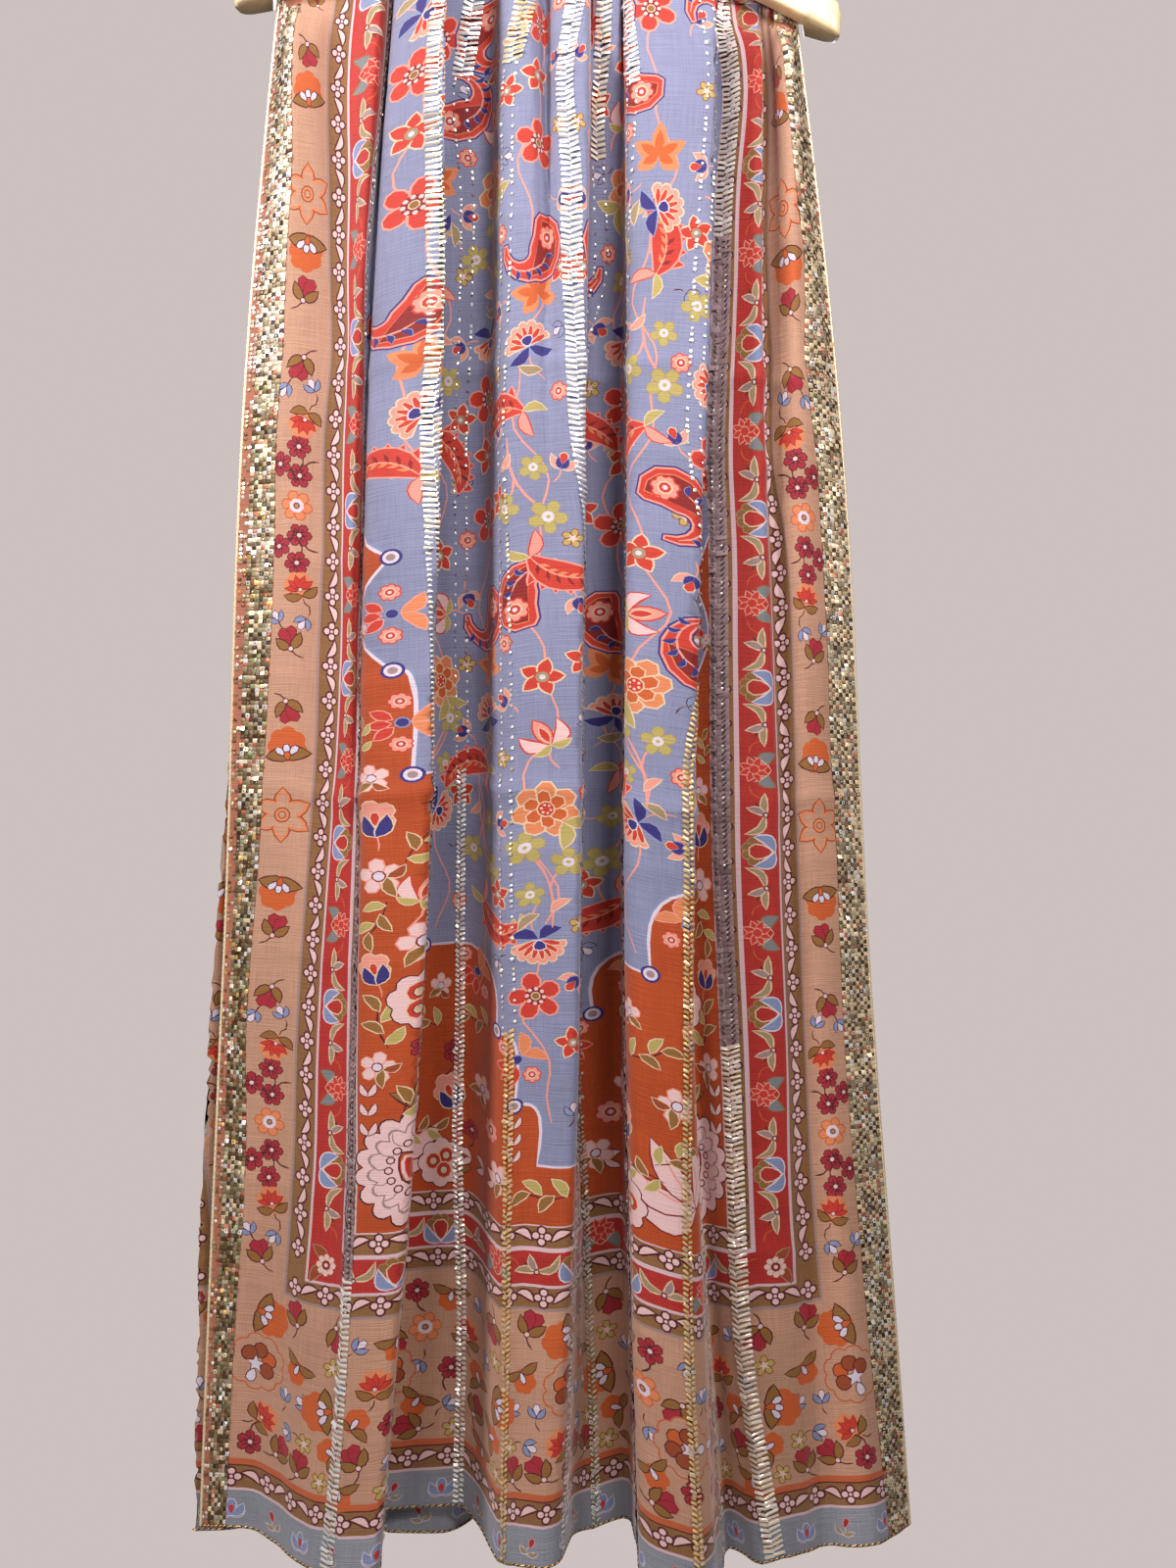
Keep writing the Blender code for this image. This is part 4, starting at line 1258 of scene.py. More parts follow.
def colour_seams(faces, label):
    """The edges, as pairs of points, where the colour changes or the cloth ends."""
    ends = np.sort(faces[:, [0, 1, 1, 2, 2, 0]].reshape(-1, 2), axis=1)
    colour = np.repeat(label, 3)
    order = np.lexsort((ends[:, 1], ends[:, 0]))
    ends, colour = ends[order], colour[order]
    first = np.append(True, (ends[1:] != ends[:-1]).any(axis=1))
    matched = np.append(~first[1:] & (colour[1:] == colour[:-1]), False)
    return ends[first & ~matched]


def straightened(flat, seams):
    """The seams without the points where two edges run on in one line."""
    both = np.concatenate([seams, seams[:, ::-1]])
    both = both[np.argsort(both[:, 0], kind="stable")]
    count = np.bincount(both[:, 0], minlength=len(flat))
    start = np.cumsum(count) - count
    middle = np.flatnonzero(count == 2)
    one, other = both[start[middle], 1], both[start[middle] + 1, 1]
    run, step = flat[other] - flat[one], flat[middle] - flat[one]
    length = np.hypot(*run.T)
    off = np.abs(run[:, 0] * step[:, 1] - run[:, 1] * step[:, 0]) / np.maximum(length, 1e-9)
    loose = np.zeros(len(flat), bool)
    loose[middle[(off < SEAM_SLACK) & (length > SEAM_SLACK)]] = True
    gone = loose[middle] & ~(loose[one] & (one > middle)) & ~(loose[other] & (other > middle))
    dropped = np.zeros(len(flat), bool)
    dropped[middle[gone]] = True
    kept = seams[~dropped[seams].any(axis=1)]
    return np.vstack([kept, np.column_stack([one[gone], other[gone]])]), gone.sum()


def outlines(shapes, low, high):
    """Points and edges of the border and of every shape that reaches between two heights."""
    points, edges = [], []
    for loop in [box(0, low, HALF, high), *(loop for loop, _ in shapes)]:
        if loop[:, 1].max() >= low and loop[:, 1].min() <= high:
            start, count = len(points), len(loop)
            points.extend(map(tuple, loop))
            edges.extend((start + k, start + (k + 1) % count) for k in range(count))
    return points, edges


def divided(flat, seams):
    """Points and edges of the seams, each edge cut short enough to follow the folds."""
    used, seams = np.unique(seams, return_inverse=True)
    points, edges = [tuple(point) for point in flat[used]], []
    for one, other in seams.reshape(-1, 2):
        start, end = np.array(points[one]), np.array(points[other])
        across, along = np.abs(end - start)
        count = max(1, math.ceil(max(across / EDGE_ACROSS, along / EDGE_ALONG)))
        run = [one, *range(len(points), len(points) + count - 1), other]
        points.extend(tuple(start + (end - start) * k / count) for k in range(1, count))
        edges.extend(zip(run, run[1:]))
    return points, edges


def grid_points(points, low, high):
    """Rows of points in the cells that hold none, with more rows beside the creases."""
    pitch = HALF / (GRID_COLUMNS - 1)
    taken = {(round(u / pitch), round(v / GRID_CELL)) for u, v in points}
    rows = set(np.linspace(low, high, max(3, round((high - low) / EDGE_ALONG)) + 1))
    rows |= {crease[0] + step for crease in CREASES for step in CREASE_STEPS}
    rows = sorted(row for row in rows if low <= row <= high)
    cells = [(k, v) for v in rows for k in range(GRID_COLUMNS)]
    return [(pitch * k, v) for k, v in cells if (k, round(v / GRID_CELL)) not in taken]


def flat_cut(shapes, low, high):
    """The left half between two heights, cut only where the print changes colour.

    Returns its points, its triangles, and the number of each triangle's colour.
    """
    flat, faces = meshed(*outlines(shapes, low, high), low, high)
    seams = colour_seams(*coloured(flat, faces, shapes, low, high))
    dropped = 1
    while dropped:
        seams, dropped = straightened(flat, seams)
    points, edges = divided(flat, seams)
    flat, faces = meshed(points + grid_points(points, low, high), edges, low, high)
    faces, label = coloured(flat, faces, shapes, low, high)
    used, faces = np.unique(faces, return_inverse=True)
    return flat[used], faces.reshape(-1, 3), label


def with_mirror(cut, axis, about):
    """The cut joined to its mirror image about a line u = about (axis 0) or v = about."""
    flat, faces, label = cut
    on_line = np.abs(flat[:, axis] - about) < 1e-3
    other = flat.copy()
    other[:, axis] = 2 * about - other[:, axis]
    index = np.arange(len(flat))
    index[~on_line] = len(flat) + np.arange((~on_line).sum())
    joined = np.vstack([flat, other[~on_line]])
    return joined, np.vstack([faces, index[faces][:, ::-1]]), np.tile(label, 2)


def put(name, data):
    """A new object in the scene."""
    made = bpy.data.objects.new(name, data)
    bpy.context.collection.objects.link(made)
    return made


def new_mesh(name, points, faces, label=None, normals=None):
    """A mesh of triangles or quads, with its finishes numbered by label."""
    mesh = bpy.data.meshes.new(name)
    count, sides = faces.shape
    mesh.vertices.add(len(points))
    mesh.vertices.foreach_set("co", np.asarray(points, np.float32).ravel())
    mesh.loops.add(count * sides)
    mesh.loops.foreach_set("vertex_index", faces.astype(np.int32).ravel())
    mesh.polygons.add(count)
    mesh.polygons.foreach_set("loop_start", np.arange(0, count * sides, sides, dtype=np.int32))
    if label is not None:
        mesh.polygons.foreach_set("material_index", label.astype(np.int32))
    mesh.update(calc_edges=True)
    if normals is not None:
        mesh.shade_smooth()
        mesh.normals_split_custom_set_from_vertices(normals)
    return put(name, mesh)


def tube_faces(rings, sides):
    """The quads between rings of points, each ring joined to the next."""
    i, j = np.meshgrid(np.arange(rings - 1), np.arange(sides), indexing="ij")
    k = (j + 1) % sides
    quads = np.stack([i * sides + j, i * sides + k, (i + 1) * sides + k, (i + 1) * sides + j], -1)
    return quads.reshape(-1, 4)


def add_uv(made, name, coords, faces):
    """A UV map from one place for each point of the mesh."""
    layer = made.data.uv_layers.new(name=name)
    layer.data.foreach_set("uv", np.asarray(coords, np.float32)[faces.ravel()].ravel())


def dress(made, slot, finishes, *replaced):
    """Gives a piece its materials and puts it on the part's body. Its slot is not used."""
    for finish in finishes:
        made.data.materials.append(finish)
    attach(made, BODY)
    if replaced:
        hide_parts(*replaced)
    return made


def cloth_piece(name, stretch, cut, finishes, node):
    """One stretch of cloth: the flat cut laid on its map."""
    flat, faces, label = cut
    points = stretch.place(flat[:, 0], flat[:, 1])
    normals = stretch.normal(flat[:, 0], flat[:, 1])
    corner = points[faces]
    facing = np.cross(corner[:, 1] - corner[:, 0], corner[:, 2] - corner[:, 0])
    if (facing * normals[faces[:, 0]]).sum() < 0:
        faces = faces[:, ::-1]
    made = new_mesh(name, points, faces, label, normals)
    add_uv(made, "OFBake", flat / (WIDTH, LENGTH + 2 * OVER), faces)
    add_uv(made, "cloth", flat / 1000, faces)
    made.data.uv_layers["OFBake"].active = True
    return dress(made, "printed_cloth", finishes, node)


# ---------------------------------------------------------------- woven metal
TILE_CORNERS = np.array([(-1, -1), (1, -1), (1, 1), (-1, 1)], float) / 2
TILE_FACES = np.array([(0, 1, 5, 4), (1, 2, 6, 5), (2, 3, 7, 6), (3, 0, 4, 7), (4, 5, 6, 7)])
TILE_PUFF = 0.25  # how far a tile's middle stands over its rim
LEAN_SIDE = 3  # tiles longer than this lean less, so that their ends stay as low


def tiles(stretch, places, sizes, turns, rises, rng, lean, middle):
    """Small raised tiles leaning every way: a sloping rim and a raised middle."""
    count = len(places)
    c, s = np.cos(turns)[:, None], np.sin(turns)[:, None]
    spread = TILE_CORNERS[None] * sizes[:, None, :]
    spread = np.concatenate([spread, spread * middle], axis=1)
    slope = rng.normal(0, lean, (count, 2)) * np.minimum(1, LEAN_SIDE / sizes)
    height = rises[:, None] + np.abs(slope * sizes / 2).sum(axis=1)[:, None]
    height = height + (spread * slope[:, None]).sum(axis=2)
    height[:, len(TILE_CORNERS) :] += TILE_PUFF
    across, along = spread[..., 0], spread[..., 1]
    spun = np.stack([c * across - s * along, s * across + c * along], -1)
    flat = (places[:, None] + spun).reshape(-1, 2)
    points = stretch.place(flat[:, 0], flat[:, 1], height.ravel())
    first = 2 * len(TILE_CORNERS) * np.arange(count)
    faces = (TILE_FACES[None] + first[:, None, None]).reshape(-1, 4)
    return points, faces if stretch.outward > 0 else faces[:, ::-1]


def metal_piece(name, stretch, rows, finishes, seed, lean, middle):
    """One mesh of tiles: rows of (u, v, width, height, turn, rise, rim's finish, middle's)."""
    rows = np.array(rows)
    rng = np.random.default_rng(seed)
    places, sizes, turns, rises = rows[:, :2], rows[:, 2:4], rows[:, 4], rows[:, 5]
    points, faces = tiles(stretch, places, sizes, turns, rises, rng, lean, middle)
    label = np.repeat(rows[:, 6:7], len(TILE_FACES), axis=1)
    label[:, -1] = rows[:, 7]
    made = new_mesh(name, points, faces, label.astype(int).ravel())
    return dress(made, "printed_cloth", finishes)


METALS = {
    # colour, roughness, share of metal in the foil over its pale thread
    "silver": (ink(250, 246, 240), 0.2, 0.45),
    "pale gold": (ink(244, 228, 190), 0.24, 0.45),
    "gold": (ink(226, 178, 104), 0.28, 0.45),
    "mauve net": (ink(138, 114, 116), 0.6, 0.1),
    "bronze": (ink(92, 70, 44), 0.4, 0.45),
    "dark thread": (ink(52, 34, 34), 0.6, 0.1),
    "cream thread": (ink(236, 212, 176), 0.4, 0.45),
    "rose metal": (ink(190, 106, 84), 0.4, 0.45),
    "green metal": (ink(150, 152, 116), 0.36, 0.45),
    "dull silver": (ink(164, 148, 126), 0.44, 0.45),
    "olive metal": (ink(124, 106, 78), 0.44, 0.45),
}
SILVER, PALE, GOLD, NET, BRONZE, DARK, CREAM, ROSE, GREEN, DULL, OLIVE = range(len(METALS))
GOTA_COLUMNS = 8
GOTA_EDGE_COLUMNS = 2  # loose sequins, on the left edge only
GOTA_TONES = {
    # metals of the woven squares, in equal shares
    # bright: the metals of the painted highlight, high up and in one band
    "bright": (SILVER, SILVER, SILVER, SILVER, PALE, DULL, DULL, DULL),
    # the next two: darker mixes that take turns in bands lower down
    "mixed": (DULL, DULL, OLIVE, CREAM, SILVER, GREEN, OLIVE, BRONZE),
    "dim": (DULL, GREEN, OLIVE, OLIVE, BRONZE, GOLD, BRONZE, SILVER),
    "pale": (CREAM, CREAM, DULL, PALE, PALE, DULL, SILVER, CREAM),
    "between": (OLIVE, BRONZE, DULL, OLIVE, BRONZE, DARK, ROSE, CREAM),
}
BRIGHT_FROM = 850  # above this height the gota's metals are painted bright: a painted highlight where the light falls strongest
# a band at this height, this far either way, gets the same painted highlight
BRIGHT_BAND, BAND_HALF = 735, 12


def gota_tone(side, v):
    """Which metals a stretch of the gota shows: bright high up, a painted highlight, and darker
    mixes in bands lower down.
    """
    if side:
        return "pale"
    if v > BRIGHT_FROM or abs(v - BRIGHT_BAND) < BAND_HALF:
        return "bright"
    return "mixed" if math.sin(v / 17) + math.sin(v / 41) > -0.2 else "dim"


def gota(name, stretch, low, high, finishes, seed):
    """The chequered metal ribbon along both edges. The left one ends in loose sequins."""
    rng = np.random.default_rng(seed)
    pitch = (GOTA[1] - GOTA[0]) / GOTA_COLUMNS
    rows = []
    for side in (0, 1):
        for row in range(int((high - low) / pitch)):
            v = low + pitch * (row + 0.5)
            tones = GOTA_TONES[gota_tone(side, v)]
            for column in range(GOTA_COLUMNS):
                u = GOTA[0] + pitch * (column + 0.5)
                tone, other = (int(len(tones) * chance) for chance in rng.random(2))
                turn = rng.uniform(-0.09, 0.09)
                if column < GOTA_EDGE_COLUMNS and not side:
                    if other > (5 if v > BRIGHT_FROM else 3):
                        continue
                    size, rim, middle = 0.7 * pitch, tones[tone], ROSE
                    turn = rng.uniform(-0.8, 0.8)
                elif (row + column) % 2:
                    size, rim = 1.04 * pitch, tones[tone]
                    # some squares get a dark olive middle: a painted reflection, the dark that a
                    # shiny square's middle reflects
                    middle = rim if other < 5 else OLIVE
                else:
                    size, rim = 0.9 * pitch, GOTA_TONES["between"][tone]
                    middle = rim if other < 5 else tones[other]
                rows.append((WIDTH - u if side else u, v, size, size, turn, 0.2, rim, middle))
    return metal_piece(name, stretch, rows, finishes, seed, 0.16, (0.34, 0.4))


# How each narrow ribbon catches the light, down from the bar: (down to this v, style, metals).
STRIPES = (
    ((740, "dots", SILVER, SILVER), (205, "net", NET, SILVER), (0, "rungs", SILVER, SILVER)),
    ((0, "rungs", SILVER, PALE),),
    ((0, "rungs", PALE, SILVER),),
    ((1062, "rungs", SILVER, SILVER), (560, "dots", SILVER, NET), (0, "beads", SILVER, SILVER)),
    ((1055, "rungs", PALE, GOLD), (380, "dots", SILVER, PALE), (0, "beads", GOLD, PALE)),
    ((0, "rungs", SILVER, SILVER),),
    ((1000, "rungs", PALE, SILVER), (330, "dots", SILVER, NET), (0, "beads", GREEN, SILVER)),
    ((1035, "rungs", SILVER, SILVER), (700, "dots", SILVER, SILVER), (0, "net", NET, SILVER)),
    ((640, "dots", SILVER, SILVER), (0, "beads", GOLD, PALE)),
    ((0, "rungs", SILVER, PALE),),
    ((950, "rungs", SILVER, SILVER), (372, "net", NET, SILVER), (0, "rungs", SILVER, CREAM)),
)
RUNG_PITCH = 3.8
RUNG_HEIGHT = 2.3
RUNG_TURN = 0.22


def rung_tiles(style, middle, v, row, metals, rng):
    """The tiles of one step of a ribbon: rungs, beads, loose dots, or a dull net."""
    one, other = metals if rng.random() < 0.75 else metals[::-1]
    side = STRIPE_WIDTH / 4
    for way in (-1, 1):
        tilt = way * RUNG_TURN + rng.uniform(-0.15, 0.15)
        if style == "rungs":
            size = (STRIPE_WIDTH * 0.53, RUNG_HEIGHT * rng.uniform(0.8, 1.1))
            yield (middle + way * side, v + 0.4 * way, *size, tilt, 0.2, one, other)
        elif style == "beads":
            size = (STRIPE_WIDTH * 0.27, RUNG_HEIGHT * rng.uniform(0.8, 1.1))
            yield (middle + way * side * 0.6, v + 0.8 * way, *size, 2 * tilt, 0.2, one, other)
        elif style == "dots":
            if (row + (way > 0)) % 2 or rng.random() < 0.3:
                size = rng.uniform(1.3, 2.0)
                yield (middle + way * side * 1.3, v, size, size * 1.2, tilt, 0.2, one, one)
        else:
            yield (middle + way * side, v, STRIPE_WIDTH * 0.5, RUNG_PITCH, 0, 0.1, NET, NET)
            yield (middle + way * side * 1.1, v, 3.4, 1.0, 0.8 * way, 0.5, DARK, DARK)
            if rng.random() < 0.5:
                yield (middle + way * side * 0.8, v + 1.7, 1.3, 1.3, tilt, 0.5, other, other)


def stripes(name, stretch, low, high, finishes, seed):
    """The narrow ribbons of metal thread."""
    rng = np.random.default_rng(seed)
    rows = []
    for k, runs in enumerate(STRIPES):
        for row in range(int((high - low) / RUNG_PITCH)):
            v = low + RUNG_PITCH * (row + 0.5)
            style, *metals = next(run[1:] for run in runs if v >= run[0])
            rows.extend(rung_tiles(style, STRIPE_FIRST + STRIPE_STEP * k, v, row, metals, rng))
    return metal_piece(name, stretch, rows, finishes, seed, 0.2, (0.72, 0.4))


CORD_STRANDS, CORD_SIDES = 2, 6
CORD_LAY = 4.2  # length over which a strand goes half round
CORD_BULGE = 0.18  # share of the radius by which the strands stand out
STRAND_SHADE = 0.62  # share of each strand's turn in the first thread's colour


def cord(name, stretch, path, radius, finishes):
    """A twisted cord along a path on the flat cloth. Its strands bulge as it turns."""
    middle = stretch.place(path[:, 0], path[:, 1])
    normal = stretch.normal(path[:, 0], path[:, 1])
    ahead = np.gradient(middle, axis=0)
    ahead /= np.linalg.norm(ahead, axis=1, keepdims=True)
    side = np.cross(ahead, normal)
    angle = np.linspace(0, 2 * math.pi, CORD_SIDES, endpoint=False)[None]
    phase = CORD_STRANDS * (angle - 2 * math.pi * run_of(path)[:, None] / (CORD_STRANDS * CORD_LAY))
    reach = radius / 1000 * (1 - CORD_BULGE + CORD_BULGE * np.cos(phase))
    around = np.cos(angle)[..., None] * side[:, None] + np.sin(angle)[..., None] * normal[:, None]
    points = middle[:, None] + reach[..., None] * around
    faces = tube_faces(len(path), CORD_SIDES)[:, ::-1]
    label = ((phase[:-1] / (2 * math.pi)) % 1 > STRAND_SHADE).astype(int)
    made = new_mesh(name, points.reshape(-1, 3), faces, label.ravel())
    made.data.shade_smooth()
    return dress(made, "printed_cloth", finishes)


# ---------------------------------------------------------------- materials
class Nodes:
    """A short way to build one material's nodes."""

    def __init__(self, name):
        self.made = bpy.data.materials.new(name)
        self.made.use_nodes = True
        self.tree = self.made.node_tree
        self.shader = self.tree.nodes["Principled BSDF"]

    def feed(self, socket, value):
        """Links a node's output into a socket, or sets the socket's own value."""
        if isinstance(value, bpy.types.NodeSocket):
            self.tree.links.new(value, socket)
        else:
            socket.default_value = value

    def set(self, **values):
        """Feeds the shader's sockets."""
        for name, value in values.items():
            self.feed(self.shader.inputs[name.replace("_", " ")], value)

    def add(self, kind, output, **values):
        """One output of a new node whose inputs are fed."""
        node = self.tree.nodes.new(kind)
        for name, value in values.items():
            self.feed(node.inputs[name], value)
        return node.outputs[output]

    def objects(self):
        return self.add("ShaderNodeTexCoord", "Object")

    def uv(self, name):
        node = self.tree.nodes.new("ShaderNodeUVMap")
        node.uv_map = name
        return node.outputs["UV"]

    def noise(self, coords, scale, detail=2.0, stretch=(1, 1, 1)):
        spread = self.add("ShaderNodeMapping", "Vector", Vector=coords, Scale=stretch)
        return self.add("ShaderNodeTexNoise", "Fac", Vector=spread, Scale=scale, Detail=detail)

    def mix(self, factor, one, other, kind="FLOAT"):
        """one where factor is 0 and other where it is 1."""
        node = self.tree.nodes.new("ShaderNodeMix")
        node.data_type = kind
        first, result = {"FLOAT": (2, 0), "RGBA": (6, 2)}[kind]
        for place, value in ((0, factor), (first, one), (first + 1, other)):
            self.feed(node.inputs[place], value)
        return node.outputs[result]

    def math(self, operation, *values):
        node = self.tree.nodes.new("ShaderNodeMath")
        node.operation = operation
        for socket, value in zip(node.inputs, values):
            self.feed(socket, value)
        return node.outputs[0]

    def weighted(self, one, other, share):
        """The two added, one by its share and the other by what is left."""
        one = self.math("MULTIPLY", one, share)
        return self.math("ADD", one, self.math("MULTIPLY", other, 1 - share))

    def bump(self, height, distance, strength):
        values = {"Height": height, "Distance": distance, "Strength": strength}
        self.set(Normal=self.add("ShaderNodeBump", "Normal", **values))


WEAVE = (38, 1150, 1)  # how a slub of the yarn is drawn out, in noise cells a metre
PATCHES = (11, 11, 1)  # broad patches where the print took more or less ink


def cloth_finish(name, colour, ground):
    """Printed linen-like chiffon: an uneven weave with slubs both ways, and a soft sheen."""
    n = Nodes(name)
    uv = n.uv("cloth")
    weft = n.noise(uv, 1.0, 3.0, WEAVE)
    warp = n.noise(uv, 1.0, 3.0, (WEAVE[1], WEAVE[0], 1))
    weave = n.weighted(weft, warp, 0.55)
    n.bump(weave, 0.0011, 0.7)
    n.set(Base_Color=(*colour, 1.0), Roughness=n.mix(weave, 0.5, 0.85), Specular_IOR_Level=0.3)
    n.set(Sheen_Weight=0.32, Sheen_Roughness=0.4, Sheen_Tint=(1.0, 0.9, 0.88, 1.0))
    if ground:
        shade = n.weighted(weave, n.noise(uv, 1.0, 3.0, PATCHES), 0.7)
        shade = n.math("SUBTRACT", n.math("MULTIPLY", shade, 2.4), 0.7)
        dark = (*(value * 0.72 for value in colour), 1.0)
        light = (*(min(1.0, value * 1.3 + 0.008) for value in colour), 1.0)
        n.set(Base_Color=n.mix(shade, dark, light, "RGBA"))
    return n.made


def cloth_finishes():
    """A finish for each ground and each ink. Only the wide grounds show uneven ink."""
    colours = GROUNDS | INKS
    return [cloth_finish(name, colours[name], name in GROUNDS) for name in colours]


def metal_finish(name, colour, roughness, share):
    """Flat metal thread, a little uneven in polish."""
    n = Nodes(name)
    grain = n.noise(n.objects(), 900.0)
    n.bump(n.noise(n.objects(), 1600.0, 1.0), 0.0003, 0.4)
    polish = n.mix(grain, roughness * 0.7, roughness * 1.5)
    n.set(Base_Color=(*colour, 1.0), Roughness=polish, Metallic=share)
    return n.made


def wood_finish():
    """Pale lacquered wood with fine grain along the arms."""
    n = Nodes("lacquered wood")
    grain = n.noise(n.objects(), 1.0, 4.0, (9, 160, 420))
    shade = n.weighted(grain, n.noise(n.objects(), 1.0, 2.0, (5, 30, 70)), 0.6)
    tone = n.mix(shade, (*ink(214, 178, 122), 1.0), (*ink(246, 228, 190), 1.0), "RGBA")
    n.bump(grain, 0.0004, 0.3)
    n.set(Base_Color=tone, Roughness=n.mix(grain, 0.26, 0.42), Coat_Weight=0.6, Coat_Roughness=0.12)
    return n.made


def steel_finish():
    """Bright plating with fine lines along the wire."""
    n = Nodes("bright plated wire")
    fine = n.noise(n.objects(), 700.0, 3.0, (1, 1, 0.1))
    n.bump(fine, 0.0002, 0.2)
    n.set(Base_Color=(*ink(222, 222, 224), 1.0), Roughness=n.mix(fine, 0.14, 0.3), Metallic=1.0)
    return n.made


# ---------------------------------------------------------------- hanger
ARM_STATIONS = (
    # name, distance from the middle, underside, top, front, back, back rise (mm over the bar)
    ("neck", 0, 49, 86, -9, 9, 0),
    ("collar", 28, 50, 83, -9, 9, 0),
    ("shoulder", 70, 39, 70, -13, 2, 0),
    ("slope", 110, 22, 52, -19, -5, 0),
    ("drop", 140, 9, 38, -23, -10, 0),
    ("behind the cloth", 169, -4, 24, -24, -11.3, 0),
    ("before the block", 193, -15, 14, -24, -11.3, 0),
    ("block", 197, -17, 12, -24, 9, 4),
    ("end", 212, -24, 5, -23, 9, 8),
    ("round", 217, -26, 0, -21, 7, 9),
    ("tip", 220, -24, -6, -17, 3, 6),
)
ARM_CORNER = 0.22
ARM_SIDES = 8  # points round each corner
HOOK_WIRE = 0.002
HOOK_RADIUS = 0.022
HOOK_FROM, HOOK_TO, HOOK_TURN = 200, -40, 4  # degrees round the bend, and between its points
NECK_TOP = 0.086 - BAR_DROP
# Across and up, the wire's way from the end of its bend down into the neck.
HOOK_STEM = ((0.0105, -0.0405), (0.0040, -0.0465), (0.0006, -0.0530), (0, -0.0600), (0, -0.0700))


def arm_section(across, under, top, front, back, back_rise):
    """A rounded section across the arm, in the hanger's own upright frame."""
    half_y, half_z = (back - front) / 2, (top - under) / 2
    radius = ARM_CORNER * min(back - front, top - under)
    ring = []
    for quarter, (sign_y, sign_z) in enumerate(((1, 1), (-1, 1), (-1, -1), (1, -1))):
        for step in range(ARM_SIDES + 1):
            angle = (quarter + step / ARM_SIDES) * math.pi / 2
            y = sign_y * (half_y - radius) + radius * math.cos(angle)
            z = sign_z * (half_z - radius) + radius * math.sin(angle)
            if z < 0:
                z += back_rise * (y + half_y) / (2 * half_y)
            ring.append((across, (front + back) / 2 + y, (under + top) / 2 - BAR_DROP + z))
    return ring


def tilted(points):
    """The hanger's frame turned about the hook's seat."""
    c, s = math.cos(HANGER_TILT), math.sin(HANGER_TILT)
    points = np.asarray(points, float)
    x, y, z = points[..., 0], points[..., 1], points[..., 2]
    return np.stack([c * x + s * z, y, -s * x + c * z], axis=-1)


def shoulders(finish):
    """Both arms, lofted finely through the same stations as the CAD solid."""
    table = np.array([row[1:] for row in ARM_STATIONS], float) / 1000
    stations = []
    for one, other in zip(table, table[1:]):
        stations += [one + (other - one) * share for share in (0, 1 / 3, 2 / 3)]
    stations.append(table[-1])
    mirror = np.array([-1, 1, 1, 1, 1, 1])
    rings = [arm_section(*(row * mirror)) for row in stations[:0:-1]]
    points = tilted(np.array(rings + [arm_section(*row) for row in stations]))
    made = new_mesh("hanger_arms", points.reshape(-1, 3), tube_faces(*points.shape[:2]))
    close_ends(made)
    made.data.shade_smooth()
    made.data.set_sharp_from_angle(angle=math.radians(40))
    return dress(made, "hanger_wood", [finish], "hanger_shoulders")


def close_ends(made):
    """Fills both ends of the loft and turns every face outwards."""
    bm = bmesh.new()
    bm.from_mesh(made.data)
    bmesh.ops.holes_fill(bm, edges=[edge for edge in bm.edges if edge.is_boundary])
    bmesh.ops.recalc_face_normals(bm, faces=bm.faces)
    bm.to_mesh(made.data)
    bm.free()


def hook(finish):
    """The bent wire, drawn finely on the CAD hook's path."""
    bend = np.radians(np.arange(HOOK_FROM, HOOK_TO - 1, -HOOK_TURN))
    drop = HOOK_WIRE - HOOK_RADIUS
    points = [(HOOK_RADIUS * math.cos(a), drop + HOOK_RADIUS * math.sin(a)) for a in bend]
    points += [*HOOK_STEM, (0.0, NECK_TOP + SEAM_GAP)]
    curve = bpy.data.curves.new("hook_wire", "CURVE")
    curve.dimensions = "3D"
    curve.bevel_depth = HOOK_WIRE
    curve.bevel_resolution = 4
    curve.use_fill_caps = True
    line = curve.splines.new("POLY")
    line.points.add(len(points) - 1)
    for point, (x, z) in zip(line.points, points):
        point.co = (*tilted((x, 0.0, z)), 1.0)
    return dress(put("hook_wire", curve), "hook_steel", [finish], "hanger_hook")


# ---------------------------------------------------------------- room
CAMERA_DISTANCE = 0.963
CAMERA_AT = (0.0358 + BAR_OFFSET, -0.742)
FOCAL_SHARE = 1331 / 1600  # focal length over the picture's height
BACKDROP = ink(203, 192, 190)
SENSOR = 36
FLOOR_RADIUS, FLOOR_HEIGHT = 0.9, -1.9
LIGHTS = (
    # name, where it stands, what it faces, watts, its two sides, colour
    ("key", (-1.15, -0.85, 0.35), (0.0, 0.0, -0.55), 36, (0.3, 0.5), (1.0, 0.97, 0.95)),
    ("front", (0.35, -1.0, 0.4), (0.1, 0.0, -0.2), 19, (0.3, 0.3), (1.0, 0.96, 0.94)),
    ("side", (1.1, -0.9, 0.1), (0.1, 0.0, -0.5), 11, (0.25, 0.5), (1.0, 0.95, 0.93)),
    ("low", (-0.5, -1.5, -1.2), (0.0, 0.0, -0.9), 4, (0.3, 0.3), (1.0, 0.93, 0.88)),
    ("back", (0.2, 1.6, 0.6), (0.0, 0.0, -0.7), 16, (1.2, 1.2), (1.0, 1.0, 1.0)),
)
WORLD_LIGHT = 0.07


def camera():
    """The photo's own view: level, a little to the right of the hanger's middle."""
    lens = bpy.data.cameras.new("camera")
    lens.sensor_fit = "VERTICAL"
    lens.sensor_height = SENSOR
    lens.lens = SENSOR * FOCAL_SHARE
    made = put("camera", lens)
    made.location = (CAMERA_AT[0], -CAMERA_DISTANCE, CAMERA_AT[1])
    made.rotation_euler = (math.pi / 2, 0, 0)
    bpy.context.scene.camera = made


def light(name, at, look, power, size, colour):
    """One soft rectangular lamp."""
    lamp = bpy.data.lights.new(name, "AREA")
    lamp.energy = power
    lamp.shape = "RECTANGLE"
    lamp.size, lamp.size_y = size
    lamp.color = colour
    made = put(name, lamp)
    made.location = at
    made.rotation_euler = (Vector(look) - Vector(at)).to_track_quat("-Z", "Y").to_euler()


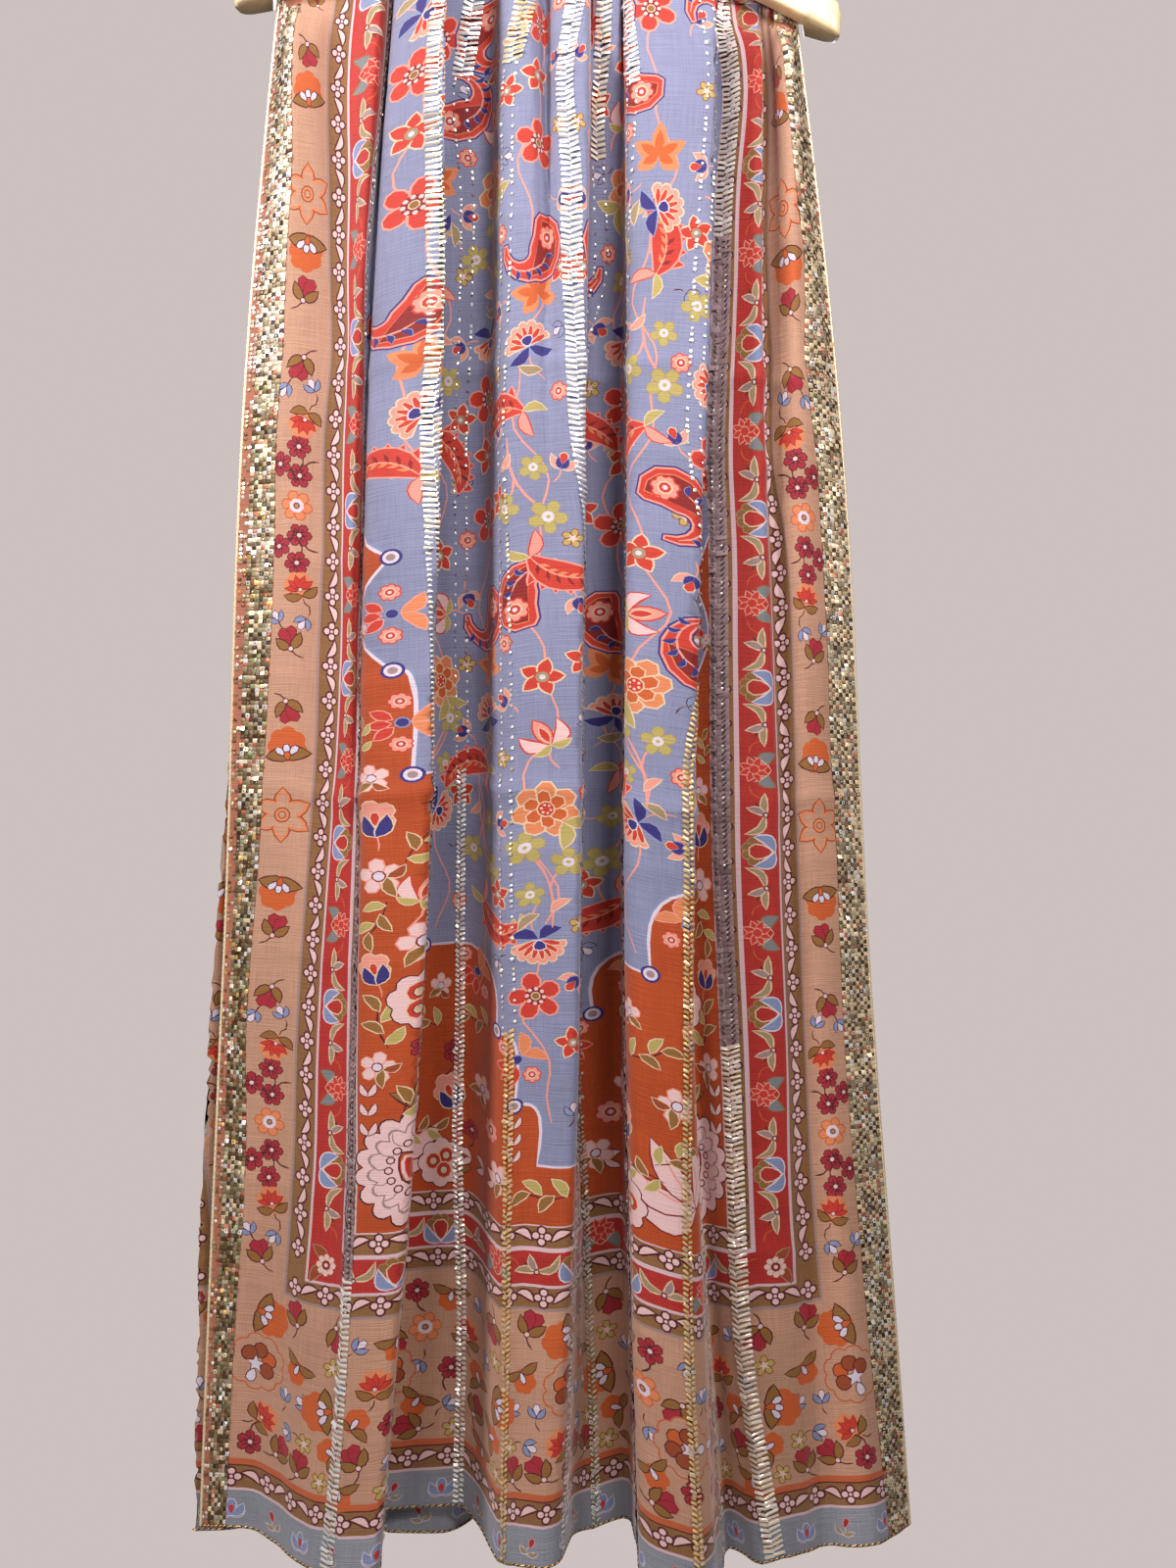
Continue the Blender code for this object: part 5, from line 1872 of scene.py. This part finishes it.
def world():
    """Faint light from all round, and a plain pale backdrop behind the part."""
    made = bpy.data.worlds.new("studio")
    made.use_nodes = True
    bpy.context.scene.world = made
    tree = made.node_tree
    glow = tree.nodes["Background"]
    glow.inputs["Color"].default_value = (*ink(225, 220, 220), 1.0)
    glow.inputs["Strength"].default_value = WORLD_LIGHT
    seen = tree.nodes.new("ShaderNodeBackground")
    seen.inputs["Color"].default_value = (*BACKDROP, 1.0)
    mix = tree.nodes.new("ShaderNodeMixShader")
    ray = tree.nodes.new("ShaderNodeLightPath").outputs["Is Camera Ray"]
    for socket, output in zip(mix.inputs, (ray, glow.outputs[0], seen.outputs[0])):
        tree.links.new(output, socket)
    tree.links.new(mix.outputs[0], tree.nodes["World Output"].inputs["Surface"])


def floor():
    """A plain pale disc well below the hem."""
    bpy.ops.mesh.primitive_circle_add(
        vertices=64, radius=FLOOR_RADIUS, fill_type="NGON", location=(0, 0, FLOOR_HEIGHT)
    )
    made = bpy.context.object
    made.name = "floor"
    n = Nodes("plain pale floor")
    matt = n.mix(n.noise(n.objects(), 5.0), 0.75, 0.9)
    n.set(Base_Color=(*ink(206, 197, 194), 1.0), Roughness=matt)
    made.data.materials.append(n.made)


CORD_INSET, SIDE_CORD = 0.8, 1.4  # from the cloth's edge, and its radius
HEM_INSET, HEM_CORD = 1.2, 0.8
CORD_START = 1  # a cord starts this far from the cloth's corner
TRIM_START = 3  # the woven metal starts this far above the hem
SIDE_POINTS, HEM_POINTS = 700, 620


def side_path(u):
    """Up one long edge of a fall, on the flat cloth."""
    return np.column_stack([np.full(SIDE_POINTS, u), np.linspace(CORD_START, LENGTH, SIDE_POINTS)])


def hem_path():
    """Along the hem of a fall."""
    across = np.linspace(CORD_START, WIDTH - CORD_START, HEM_POINTS)
    return np.column_stack([across, np.full(HEM_POINTS, HEM_INSET)])


def lay_fall(name, stretch, node, cut, cloth, metal, seed):
    """One fall of the cloth with its woven metal, its edge cords and its hem."""
    piece = cloth_piece(f"{name}_fall_cloth", stretch, cut, cloth, node)
    edge, turn = (metal[CREAM], metal[PALE]), (metal[DARK], metal[GOLD])
    trims = [
        gota(f"{name}_gota", stretch, TRIM_START, LENGTH, metal, seed),
        stripes(f"{name}_stripes", stretch, TRIM_START, LENGTH, metal, seed + 10),
        cord(f"{name}_left_cord", stretch, side_path(CORD_INSET), SIDE_CORD, edge),
        cord(f"{name}_right_cord", stretch, side_path(WIDTH - CORD_INSET), SIDE_CORD, edge),
        cord(f"{name}_hem_cord", stretch, hem_path(), HEM_CORD, turn),
    ]


def lay_over_bar(cut, cloth, metal):
    """The stretch that bends over the bar, with its woven metal."""
    stretch, end = over_bar(), LENGTH + 2 * OVER
    piece = cloth_piece("over_bar_cloth", stretch, cut, cloth, "dupatta_over_bar")
    trims = [
        gota("over_gota", stretch, LENGTH, end, metal, 31),
        stripes("over_stripes", stretch, LENGTH, end, metal, 32),
    ]


def main():
    """Lays the printed cloth on its folds, then sets the hanger and the room round it."""
    camera()
    shapes = draw_print()
    fall_cut = with_mirror(flat_cut(shapes, 0, LENGTH), 0, HALF)
    over_cut = with_mirror(flat_cut(shapes, LENGTH, LENGTH + OVER), 0, HALF)
    over_cut = with_mirror(over_cut, 1, LENGTH + OVER)
    cloth = cloth_finishes()
    metal = [metal_finish(name, *values) for name, values in METALS.items()]
    lay_fall("front", fall(front_section, -1), "dupatta_front_fall", fall_cut, cloth, metal, 11)
    lay_fall("back", fall(back_section, 1), "dupatta_back_fall", fall_cut, cloth, metal, 12)
    lay_over_bar(over_cut, cloth, metal)
    wood = wood_finish()
    shoulders(wood)
    hook(steel_finish())
    bar = frame["nodes"]["hanger_bar"]
    bar.data.materials.clear()
    bar.data.materials.append(wood)
    world()
    for row in LIGHTS:
        light(*row)
    floor()
    bpy.context.scene.view_settings.view_transform = "Standard"


main()
